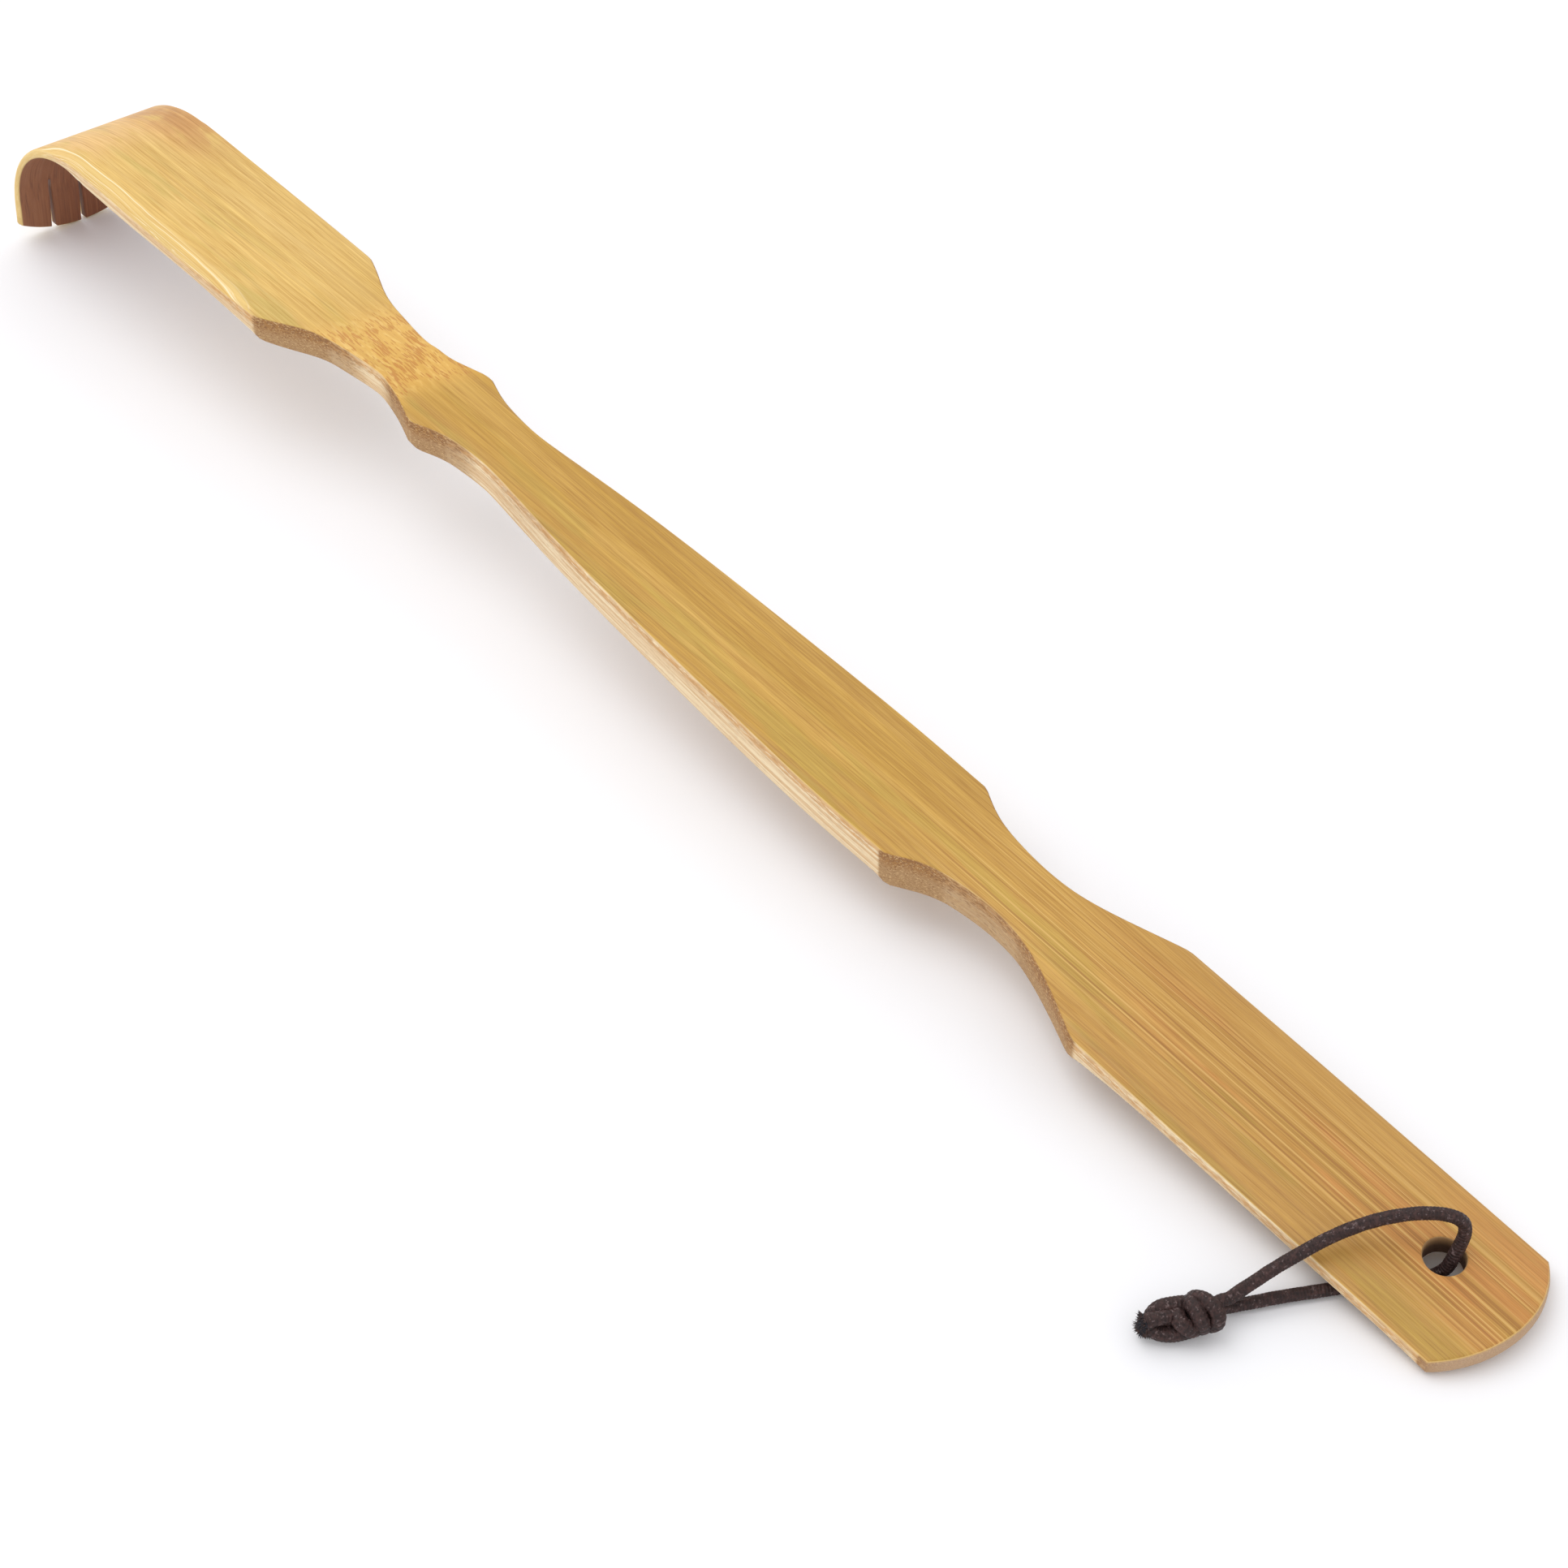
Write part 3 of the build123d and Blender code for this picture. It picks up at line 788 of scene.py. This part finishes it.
def braided_tube(places, radius, end_shape=None):
    """Vertices, faces and relief of a braided cord along a line. end_shape(share) scales its radius."""
    places = evenly(places, BRAID_SPACING)
    vertices, relief = [], []
    tangent = (places[1] - places[0]).normalized()
    side = tangent.orthogonal().normalized()
    travelled = 0.0
    for k, place in enumerate(places):
        ahead = places[min(k + 1, len(places) - 1)] - places[max(k - 1, 0)]
        ahead.normalize()
        side = (side - ahead * side.dot(ahead)).normalized()
        other = ahead.cross(side)
        if k:
            travelled += (place - places[k - 1]).length
        scale = end_shape(k / (len(places) - 1)) if end_shape else 1.0
        for step in range(BRAID_AROUND):
            angle = 2 * pi * step / BRAID_AROUND
            turn = 2 * pi * travelled / BRAID_PITCH
            over = cos(BRAID_STRANDS / 2 * (angle + turn)) * cos(BRAID_STRANDS / 2 * (angle - turn))
            height = 0.5 + 0.5 * over
            lump = LUMP_SIZE * ripple(travelled / MM / LUMP_LENGTH, angle * 1.2, radius * 900)
            distance = radius * scale * (1 - BRAID_DEPTH * (1 - height) + lump)
            vertices.append(place + (side * cos(angle) + other * sin(angle)) * distance)
            relief.append(height)
    faces = []
    for k in range(len(places) - 1):
        for step in range(BRAID_AROUND):
            a = k * BRAID_AROUND + step
            b = k * BRAID_AROUND + (step + 1) % BRAID_AROUND
            faces.append((a, b, b + BRAID_AROUND, a + BRAID_AROUND))
    first = [BRAID_AROUND - 1 - step for step in range(BRAID_AROUND)]
    last = [(len(places) - 1) * BRAID_AROUND + step for step in range(BRAID_AROUND)]
    faces += [tuple(first), tuple(last)]
    return vertices, faces, relief


def tube_mesh(name, tubes):
    """One mesh from several tubes."""
    vertices, faces, relief = [], [], []
    for tube_vertices, tube_faces, tube_relief in tubes:
        start = len(vertices)
        vertices += tube_vertices
        relief += tube_relief
        faces += [tuple(start + index for index in face) for face in tube_faces]
    mesh = bpy.data.meshes.new(name)
    mesh.from_pydata(vertices, [], faces)
    layer = mesh.attributes.new("relief", "FLOAT", "POINT")
    layer.data.foreach_set("value", np.array(relief, np.float32))
    return mesh


def in_knot(points):
    """Places given in the knot's own frame, as places of the object. The frame's steps go towards the
    cut ends, across and half upwards, and across the other way and half upwards."""
    ahead = (KNOT_TAIL - KNOT_WRAP).normalized()
    level = Vector((0, 0, 1)).cross(ahead).normalized()
    up = ahead.cross(level)
    half = sqrt(0.5)
    return [KNOT_CENTRE + ahead * u + level * (t - s) * half + up * (t + s) * half for u, s, t in points]


# The knot's wraps: angle round the knot in degrees, place along it and distance from its middle.
KNOT_TURNS = [
    (-150, 0.6, 1.9), (-100, 1.4, 2.4), (-45, 1.8, 2.8), (0, 1.1, 3.0), (45, -0.4, 2.9), (90, -1.5, 2.8),
    (135, -1.5, 2.6), (180, -0.6, 2.5), (225, 0.8, 2.4), (270, 2.2, 2.3), (315, 2.8, 2.3), (360, 2.6, 2.4),
    (405, 2.2, 2.7), (450, 1.8, 2.8), (495, 1.4, 2.7), (540, 1.3, 2.5), (590, 1.6, 1.9),
]
KNOT_MIDDLE = (-1.6, 2.2)
FOLDED_LOOP = [
    (0.8, -0.8, 1.5), (2.6, 0.4, 1.5), (5.2, 0.9, 1.6), (7.7, 0.9, 1.4), (9.5, -0.2, 1.2), (10.1, -1.8, 1.1),
    (9.2, -3.3, 1.2), (7.2, -4.0, 1.6), (5.0, -4.2, 1.7), (2.7, -4.1, 1.8), (1.0, -3.0, 1.5),
]
TUCKED_LOOP = [
    (1.6, -3.6, 2.2), (2.8, -4.0, 3.1), (4.1, -3.4, 3.8), (5.2, -2.1, 3.9), (5.4, -0.8, 2.8), (4.4, 0.0, 0.8),
]
INNER_FOLD = [(1.5, -1.6, 1.4), (4.0, -2.0, 1.2), (6.5, -1.7, 0.9), (8.5, -1.4, 0.9)]
UPPER_WAY_IN = [(-3.2, -0.3, 1.2), (-0.6, -1.0, 2.0)]
LOWER_WAY_IN = [(-3.4, -1.8, 0.2), (-0.8, -2.0, 1.4)]
UPPER_END = [
    (3.6, -0.6, 1.2), (5.2, -0.7, 2.4), (7.2, -0.7, 3.2), (9.2, -0.5, 3.4), (10.9, -0.6, 3.0),
    (12.3, -0.8, 2.6),
]
LOWER_END = [(7.5, -1.2, 0.6), (9.4, -1.7, 0.2), (11.0, -2.2, 0.5), (12.1, -2.7, 1.0)]
KNOT_STRAND_RADIUS = 1.62
WAY_IN_RADIUS = CORD_DIAMETER / 2 - 0.03  # a little less than the loop's, whose ends it starts inside
UPPER_OVERLAP = 0.12  # how far inside, as a share of the loop's last step
LOWER_OVERLAP = 0.15
END_RADIUS = 1.34
SINGED_RINGS = 12
FRINGE_RADIUS = 1.45
FRINGE_FIBRES = 110
FIBRE_RADIUS = 0.2
FIBRE_CORNERS = 5


def knot_strands():
    """The strands of the knot: its two wraps, the folded loops and the cord's two ways in."""
    middle_s, middle_t = KNOT_MIDDLE
    wraps = []
    for degrees, along, distance in KNOT_TURNS:
        angle = radians(degrees)
        wraps.append((along, middle_s + distance * cos(angle), middle_t + distance * sin(angle)))
    upper, before_upper = Vector(CORD_ROUTE[0]), Vector(CORD_ROUTE[1])
    lower, before_lower = Vector(CORD_ROUTE[-1]), Vector(CORD_ROUTE[-2])
    ways_in = [
        [upper.lerp(before_upper, UPPER_OVERLAP), upper, *in_knot(UPPER_WAY_IN)],
        [lower.lerp(before_lower, LOWER_OVERLAP), lower, *in_knot(LOWER_WAY_IN)],
    ]
    lines = [in_knot(points) for points in (wraps, FOLDED_LOOP, TUCKED_LOOP, INNER_FOLD)]
    strands = [(line, KNOT_STRAND_RADIUS) for line in lines]
    strands += [(line, WAY_IN_RADIUS) for line in ways_in]
    return [braided_tube(route_points(line), radius * MM) for line, radius in strands]


def fringe(end, ahead, radius):
    """Loose fibres round a cut end, each a thin spike."""
    side = ahead.orthogonal().normalized()
    other = ahead.cross(side)
    spikes = []
    for k in range(FRINGE_FIBRES):
        angle = GOLDEN_ANGLE * k
        out = sqrt((k + 0.5) / FRINGE_FIBRES)
        outwards = side * cos(angle) + other * sin(angle)
        root = end + outwards * out * radius * 0.85 - ahead * (0.3 + 0.9 * out) * MM
        length = (1.15 + 0.9 * ripple(k * 0.7, 5.0)) * MM
        lean = outwards * (0.2 + 0.9 * out) + ahead * (1.0 - 0.5 * out)
        lean += other * 0.9 * ripple(k * 1.3, 9.0) + side * 0.9 * ripple(k * 1.7, 2.0)
        spikes.append(spike(root, lean.normalized(), length, FIBRE_RADIUS * MM))
    return spikes


def spike(root, direction, length, radius):
    """Vertices, faces and relief of a thin closed cone."""
    side = direction.orthogonal().normalized()
    other = direction.cross(side)
    corners = FIBRE_CORNERS
    angles = [2 * pi * k / corners for k in range(corners)]
    vertices = [root + (side * cos(angle) + other * sin(angle)) * radius for angle in angles]
    vertices.append(root + direction * length)
    faces = [(k, (k + 1) % corners, corners) for k in range(corners)] + [tuple(range(corners - 1, -1, -1))]
    return vertices, faces, [CUT_RELIEF] * len(vertices)


def frayed(share):
    """A cut end's shape: a little wider before its tip, and drawn in at the tip."""
    return 1.0 + 0.1 * smoothstep(0.7, 0.9, share) - 0.6 * smoothstep(0.92, 1.0, share)


def cut_end_strands():
    strands = []
    for points in (UPPER_END, LOWER_END):
        line = route_points(in_knot(points))
        vertices, faces, relief = braided_tube(line, END_RADIUS * MM, frayed)
        singed = SINGED_RINGS * BRAID_AROUND
        strands.append((vertices, faces, relief[:-singed] + [CUT_RELIEF] * singed))
        strands += fringe(line[-1], (line[-1] - line[-4]).normalized(), FRINGE_RADIUS * MM)
    return strands


def make_cord(material):
    knot = fresh_object("knot_strands", tube_mesh("knot_strands", knot_strands()), material)
    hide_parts("cord_knot")
    ends = fresh_object("cut_ends", tube_mesh("cut_ends", cut_end_strands()), material)
    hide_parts("cord_ends")
    line = route_points(CORD_ROUTE)
    loop_mesh = tube_mesh("braided_loop", [braided_tube(line, CORD_DIAMETER / 2 * MM)])
    loop = fresh_object("braided_loop", loop_mesh, material)
    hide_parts("cord_loop")


# ---------- materials
def add_node(tree, kind, settings=None, inputs=None):
    """A new node with its settings, and its inputs set to numbers or joined to other sockets."""
    node = tree.nodes.new(kind)
    for name, value in (settings or {}).items():
        setattr(node, name, value)
    for name, value in (inputs or {}).items():
        if isinstance(value, bpy.types.NodeSocket):
            tree.links.new(value, node.inputs[name])
        else:
            node.inputs[name].default_value = value
    return node


class Graph:
    """Short names for the nodes that the materials are made of."""

    def __init__(self, name):
        self.material = bpy.data.materials.new(name)
        self.material.use_nodes = True
        self.tree = self.material.node_tree
        self.shader = self.tree.nodes["Principled BSDF"]

    def attribute(self, name, output="Fac"):
        return add_node(self.tree, "ShaderNodeAttribute", {"attribute_name": name}).outputs[output]

    def scaled(self, vector, scale, shift):
        inputs = {"Vector": vector, "Scale": scale, "Location": shift}
        return add_node(self.tree, "ShaderNodeMapping", {"vector_type": "POINT"}, inputs).outputs["Vector"]

    def noise(self, vector, scale, shift=(0.0, 0.0, 0.0), detail=2.0, roughness=0.5):
        """Soft noise over places that are first scaled along each axis and shifted."""
        inputs = {"Vector": self.scaled(vector, scale, shift), "Scale": 1.0}
        inputs |= {"Detail": detail, "Roughness": roughness}
        return add_node(self.tree, "ShaderNodeTexNoise", None, inputs).outputs["Fac"]

    def cells(self, vector, scale, shift=(0.0, 0.0, 0.0)):
        """Distance from the nearest of scattered places, scaled in the same way."""
        inputs = {"Vector": self.scaled(vector, scale, shift), "Scale": 1.0}
        return add_node(self.tree, "ShaderNodeTexVoronoi", None, inputs).outputs["Distance"]

    def ramp(self, value, low, high):
        """0 below low and 1 above high, smooth between them; low may be above high."""
        inputs = {"Value": value, "From Min": low, "From Max": high}
        settings = {"interpolation_type": "SMOOTHSTEP", "clamp": True}
        return add_node(self.tree, "ShaderNodeMapRange", settings, inputs).outputs["Result"]

    def mix(self, share, first, second, blend="MIX"):
        node = add_node(self.tree, "ShaderNodeMix", {"data_type": "RGBA", "blend_type": blend})
        for index, value in ((0, share), (6, first), (7, second)):
            if isinstance(value, bpy.types.NodeSocket):
                self.tree.links.new(value, node.inputs[index])
            elif index == 0:
                node.inputs[index].default_value = value
            else:
                node.inputs[index].default_value = (*value, 1.0)
        return node.outputs[2]

    def maths(self, operation, first, second=0.0):
        node = add_node(self.tree, "ShaderNodeMath", {"operation": operation})
        for socket, value in zip(node.inputs, (first, second)):
            if isinstance(value, bpy.types.NodeSocket):
                self.tree.links.new(value, socket)
            else:
                socket.default_value = value
        return node.outputs[0]

    def times(self, first, second):
        return self.maths("MULTIPLY", first, second)

    def plus(self, first, second):
        return self.maths("ADD", first, second)

    def minus(self, first, second):
        return self.maths("SUBTRACT", first, second)

    def between(self, value, low, low_end, high_start, high):
        """1 between the two middle numbers, fading to 0 at the outer two."""
        return self.times(self.ramp(value, low, low_end), self.ramp(value, high, high_start))

    def tint(self, share, colour, factors):
        """The colour, multiplied by these factors where the share is 1."""
        return self.mix(share, colour, self.mix(1.0, colour, factors, "MULTIPLY"))

    def parts(self, vector):
        return add_node(self.tree, "ShaderNodeSeparateXYZ", None, {"Vector": vector}).outputs

    def bump(self, height, distance, strength):
        inputs = {"Height": height, "Distance": distance, "Strength": strength}
        return add_node(self.tree, "ShaderNodeBump", None, inputs).outputs["Normal"]

    def finish(self, colour, roughness, normal):
        self.tree.links.new(colour, self.shader.inputs["Base Color"])
        self.tree.links.new(roughness, self.shader.inputs["Roughness"])
        self.tree.links.new(normal, self.shader.inputs["Normal"])
        return self.material


class BambooGraph(Graph):
    """The bamboo's nodes, with the mesh's attributes and the zones and fibres that its layers share."""

    def __init__(self):
        super().__init__("bamboo")
        self.grain = self.attribute("grain", "Vector")
        self.rim = self.attribute("rim")
        self.under = self.attribute("under")
        self.oblique = self.attribute("oblique")
        self.along, self.across, self.depth = self.parts(self.grain)
        self.head = self.ramp(self.along, -70, -135)
        self.handle = self.ramp(self.along, 62, 100)
        self.handle_middle = self.times(self.ramp(self.maths("ABSOLUTE", self.across), 13, 4), self.handle)
        self.streaks = self.noise(self.grain, (0.009, 0.7, 0.5), (3.1, 7.7, 0))
        self.fine = self.noise(self.grain, (0.045, 2.4, 2.0), (9.0, 2.0, 0), detail=3.0, roughness=0.6)


def skin_colour(g):
    """The planed upper face: golden at the head, olive along the shaft, tan and rosy at the handle."""
    colour = g.mix(g.handle, (0.50, 0.305, 0.066), (0.525, 0.318, 0.088))
    colour = g.mix(g.head, colour, (0.665, 0.425, 0.115))
    broad = g.noise(g.grain, (0.011, 0.13, 0.1))
    colour = g.mix(g.times(g.ramp(broad, 0.4, 0.68), 0.5), colour, (0.66, 0.44, 0.15))
    rosy = g.noise(g.grain, (0.016, 0.2, 0.1), (5.0, 1.0, 0))
    near_end = g.times(g.ramp(g.along, 185, 222), g.ramp(g.across, -12, 2))
    along_middle = g.times(g.handle_middle, g.ramp(g.along, 105, 165))
    rosy_zone = g.times(g.maths("MAXIMUM", along_middle, near_end), 0.6)
    colour = g.mix(g.times(g.ramp(rosy, 0.46, 0.6), rosy_zone), colour, (0.60, 0.28, 0.10))
    green = g.noise(g.grain, (0.03, 0.22, 0.1), (2.0, 6.3, 0))
    green_zone = g.times(g.ramp(g.across, 3, -6), 0.45)
    return g.mix(g.times(g.ramp(green, 0.46, 0.62), green_zone), colour, (0.44, 0.34, 0.07))


def bend_tints(g, colour):
    """The heat of bending leaves a rosy band over the ridge, darkest towards its far end."""
    askew = g.minus(g.along, g.times(g.across, BEND_SKEW))
    mottle = g.noise(g.grain, (0.12, 0.2, 0.0), detail=3.0)
    band = g.times(g.between(askew, -222, -204, -196, -184), g.ramp(mottle, 0.25, 0.5))
    colour = g.mix(g.times(band, 0.7), colour, (0.755, 0.465, 0.19))
    scorch = g.times(g.between(askew, -216, -200, -190, -168), g.ramp(g.across, 1, 10))
    scorch = g.times(scorch, g.ramp(mottle, 0.25, 0.55))
    return g.mix(g.times(scorch, 0.95), colour, (0.545, 0.275, 0.085))


def fibre_colour(g, colour):
    """Short fine fibres everywhere, soft streaks, and thin long lines along the handle's middle."""
    level = g.plus(g.times(g.streaks, 0.4), g.times(g.fine, 0.6))
    colour = g.tint(g.ramp(level, 0.5, 0.62), colour, (1.13, 1.17, 1.3))
    colour = g.tint(g.ramp(level, 0.5, 0.38), colour, (0.86, 0.80, 0.68))
    thin = g.noise(g.grain, (0.1, 4.4, 3.0), (4.0, 5.0, 1.0), roughness=0.6)
    colour = g.tint(g.ramp(thin, 0.53, 0.66), colour, (1.08, 1.11, 1.19))
    colour = g.tint(g.ramp(thin, 0.47, 0.34), colour, (0.87, 0.80, 0.66))
    strength = g.plus(g.times(g.handle_middle, 0.6), 0.12)
    threads = g.noise(g.grain, (0.0028, 1.5, 0.5), (1.7, 3.3, 0), roughness=0.6)
    colour = g.mix(g.times(g.ramp(threads, 0.55, 0.62), strength), colour, (0.76, 0.54, 0.24))
    return g.mix(g.times(g.ramp(threads, 0.45, 0.38), strength), colour, (0.36, 0.175, 0.045))


def joint_dashes(g):
    """The joint's band across the strip, and the short dashes in it where the fibres turn."""
    dashes = g.cells(g.grain, (0.36, 3.0, 2.0))
    band = g.between(g.plus(g.along, g.times(g.across, -0.25)), -113, -101, -84, -75)
    patches = g.noise(g.grain, (0.2, 0.22, 0.2), detail=3.0)
    size = g.times(band, g.ramp(patches, 0.22, 0.6))
    return band, g.ramp(g.minus(g.times(size, 0.58), dashes), 0.0, 0.12)


def joint_colour(g, colour, band, dash):
    """The joint: a paler band with orange-brown dashes."""
    pale = g.noise(g.grain, (0.3, 0.9, 0.9), (3.0, 8.0, 1.0), detail=3.0)
    colour = g.mix(g.times(band, 0.5), colour, (0.82, 0.50, 0.14))
    colour = g.mix(g.times(g.ramp(pale, 0.5, 0.66), g.times(band, 0.35)), colour, (0.92, 0.70, 0.30))
    return g.mix(g.times(dash, 0.75), colour, (0.52, 0.22, 0.045))


def bevel_colour(g, colour):
    """Planed bevels show the paler wood in layers below the skin."""
    wobble = g.noise(g.grain, (0.025, 0.5, 0.8), (4.4, 0, 0), detail=3.0)
    below_skin = g.times(g.depth, g.plus(g.times(wobble, 1.2), 0.4))
    bevelled = g.ramp(below_skin, 0.06, 0.2)
    colour = g.mix(g.times(bevelled, 0.7), colour, (0.78, 0.55, 0.20))
    layers = add_node(g.tree, "ShaderNodeCombineXYZ", None, {"X": g.along, "Y": below_skin}).outputs[0]
    bands = g.noise(layers, (0.012, 6.5, 0.0))
    colour = g.mix(g.times(g.ramp(bands, 0.48, 0.38), g.times(bevelled, 0.8)), colour, (0.62, 0.37, 0.10))
    return g.mix(g.times(g.ramp(bands, 0.54, 0.64), g.times(bevelled, 0.75)), colour, (0.93, 0.80, 0.55))


def underside_colour(g):
    """The underside is browner, most of all inside the heated hook."""
    inside_hook = g.ramp(g.along, -165, -200)
    plain = g.mix(inside_hook, (0.50, 0.31, 0.14), (0.185, 0.054, 0.018))
    pale = g.mix(inside_hook, (0.62, 0.41, 0.22), (0.31, 0.128, 0.054))
    dark = g.mix(inside_hook, (0.34, 0.18, 0.08), (0.14, 0.045, 0.02))
    # painted light: the underside is paler towards the near side, where light reaches into the shaded hook
    colour = g.mix(g.times(g.ramp(g.across, 6, -15), 0.55), plain, pale)
    colour = g.mix(g.times(g.ramp(g.fine, 0.5, 0.68), 0.5), colour, pale)
    return g.mix(g.times(g.ramp(g.fine, 0.48, 0.32), 0.6), colour, dark)


def side_colour(g):
    """Sides: creamy layers along the grain, and brown dots of cut fibres where the saw crosses it."""
    layers = g.noise(g.grain, (0.016, 0.6, 1.6), (1.0, 4.0, 2.0), detail=3.0, roughness=0.6)
    colour = g.mix(g.ramp(layers, 0.36, 0.64), (0.66, 0.43, 0.22), (0.86, 0.70, 0.46))
    patches = g.noise(g.grain, (0.35, 1.6, 2.2), (7.0, 2.0, 3.0), detail=3.0, roughness=0.7)
    top_layer = g.times(g.between(g.depth, 0.2, 0.7, 1.4, 2.6), g.ramp(patches, 0.4, 0.56))
    colour = g.mix(g.times(top_layer, 0.8), colour, (0.60, 0.31, 0.10))
    crossed = g.ramp(g.oblique, 0.12, 0.45)
    cut = g.mix(g.ramp(g.depth, 4.5, 1.0), (0.385, 0.222, 0.098), (0.34, 0.16, 0.046))
    colour = g.mix(crossed, colour, cut)
    dots = g.cells(g.grain, (0.35, 3.2, 2.4), (0.0, 3.0, 7.0))
    limit = g.plus(g.times(g.ramp(g.depth, 4.5, 0.3), 0.3), 0.3)
    dot = g.ramp(g.minus(limit, dots), 0.0, 0.12)
    strength = g.plus(g.times(crossed, 0.62), 0.2)
    colour = g.mix(g.times(dot, strength), colour, (0.24, 0.11, 0.04))
    specks = g.noise(g.grain, (0.9, 4.0, 4.2), (2.0, 1.0, 5.0), detail=3.0, roughness=0.75)
    colour = g.mix(g.times(g.ramp(specks, 0.52, 0.64), strength), colour, (0.64, 0.43, 0.205))
    return g.mix(g.times(g.ramp(g.along, 216, 222), 0.6), colour, (0.54, 0.38, 0.25))


def shaded_hole_colour(g, colour):
    """The wall of the drilled hole is brown, with painted shade that makes it darker further down."""
    from_hole = g.plus(
        g.maths("POWER", g.minus(g.along, HOLE_X - CENTRING), 2.0),
        g.maths("POWER", g.minus(g.across, HOLE_Y), 2.0),
    )
    in_hole = g.ramp(from_hole, (HOLE_RADIUS + 0.5) ** 2, (HOLE_RADIUS + 0.1) ** 2)
    # painted shade: the wall's colour darkens with depth into the hole
    wall = g.mix(g.ramp(g.depth, 0.3, 2.5), (0.34, 0.19, 0.08), (0.09, 0.04, 0.018))
    return g.mix(in_hole, colour, wall)


def bamboo_material():
    g = BambooGraph()
    band, dash = joint_dashes(g)
    colour = fibre_colour(g, bend_tints(g, skin_colour(g)))
    colour = joint_colour(g, colour, band, dash)

    # darker and browner from the head to the handle: partly the wood's own tint, partly painted light that
    # leaves the head brighter
    colour = g.mix(g.head, g.mix(1.0, colour, (0.94, 0.84, 0.56), "MULTIPLY"), colour)
    colour = g.tint(g.ramp(g.along, 95, 150), colour, (0.92, 0.88, 0.9))

    colour = bevel_colour(g, colour)
    colour = g.mix(g.ramp(g.under, 0.4, 0.5), colour, underside_colour(g))
    colour = g.mix(g.ramp(g.rim, 0.35, 0.8), colour, shaded_hole_colour(g, side_colour(g)))
    hook_rim = g.times(g.ramp(g.rim, 0.1, 0.5), g.ramp(g.along, -196, -208))
    colour = g.mix(g.times(hook_rim, 0.75), colour, (0.80, 0.58, 0.22))

    height = g.minus(g.plus(g.streaks, g.times(g.fine, 0.6)), g.times(dash, 0.8))
    roughness = g.ramp(g.plus(g.streaks, g.times(g.rim, 0.5)), -0.75, 1.7)
    return g.finish(colour, roughness, g.bump(height, 0.00009, 0.55))


def cord_material():
    g = Graph("waxed_cord")
    place = add_node(g.tree, "ShaderNodeTexCoord").outputs["Object"]
    relief = g.attribute("relief")
    fibres = g.noise(place, (1000, 1000, 1000), detail=4.0, roughness=0.65)
    wax_and_glints = g.noise(place, (1250, 1250, 1250), (3.0, 1.0, 2.0), detail=3.0, roughness=0.65)
    # painted shade: the braid is darker in the grooves between its strands than on their raised tops
    colour = g.mix(g.ramp(relief, 0.0, 0.7), (0.016, 0.0072, 0.0066), (0.031, 0.0142, 0.0131))
    colour = g.mix(g.ramp(fibres, 0.45, 0.68), colour, (0.066, 0.033, 0.030))
    colour = g.mix(g.ramp(fibres, 0.42, 0.3), colour, (0.016, 0.008, 0.008))
    # pale flecks: partly wax on the cord, partly painted glints standing in for its sheen
    colour = g.mix(g.times(g.ramp(wax_and_glints, 0.56, 0.68), 0.7), colour, (0.17, 0.12, 0.118))
    singed = g.ramp(relief, -0.2, -0.8)
    charred = g.mix(g.ramp(wax_and_glints, 0.45, 0.6), (0.011, 0.011, 0.017), (0.06, 0.032, 0.026))
    colour = g.mix(singed, colour, charred)
    g.shader.inputs["Specular IOR Level"].default_value = 0.3
    bump = g.bump(g.plus(fibres, g.times(relief, 0.5)), 0.0002, 0.8)
    return g.finish(colour, g.ramp(fibres, -0.5, 1.3), bump)


# ---------- the scene
make_camera()
make_lights()
make_floor()
bpy.context.scene.view_settings.view_transform = "Standard"
make_cord(cord_material())
make_strip(bamboo_material())
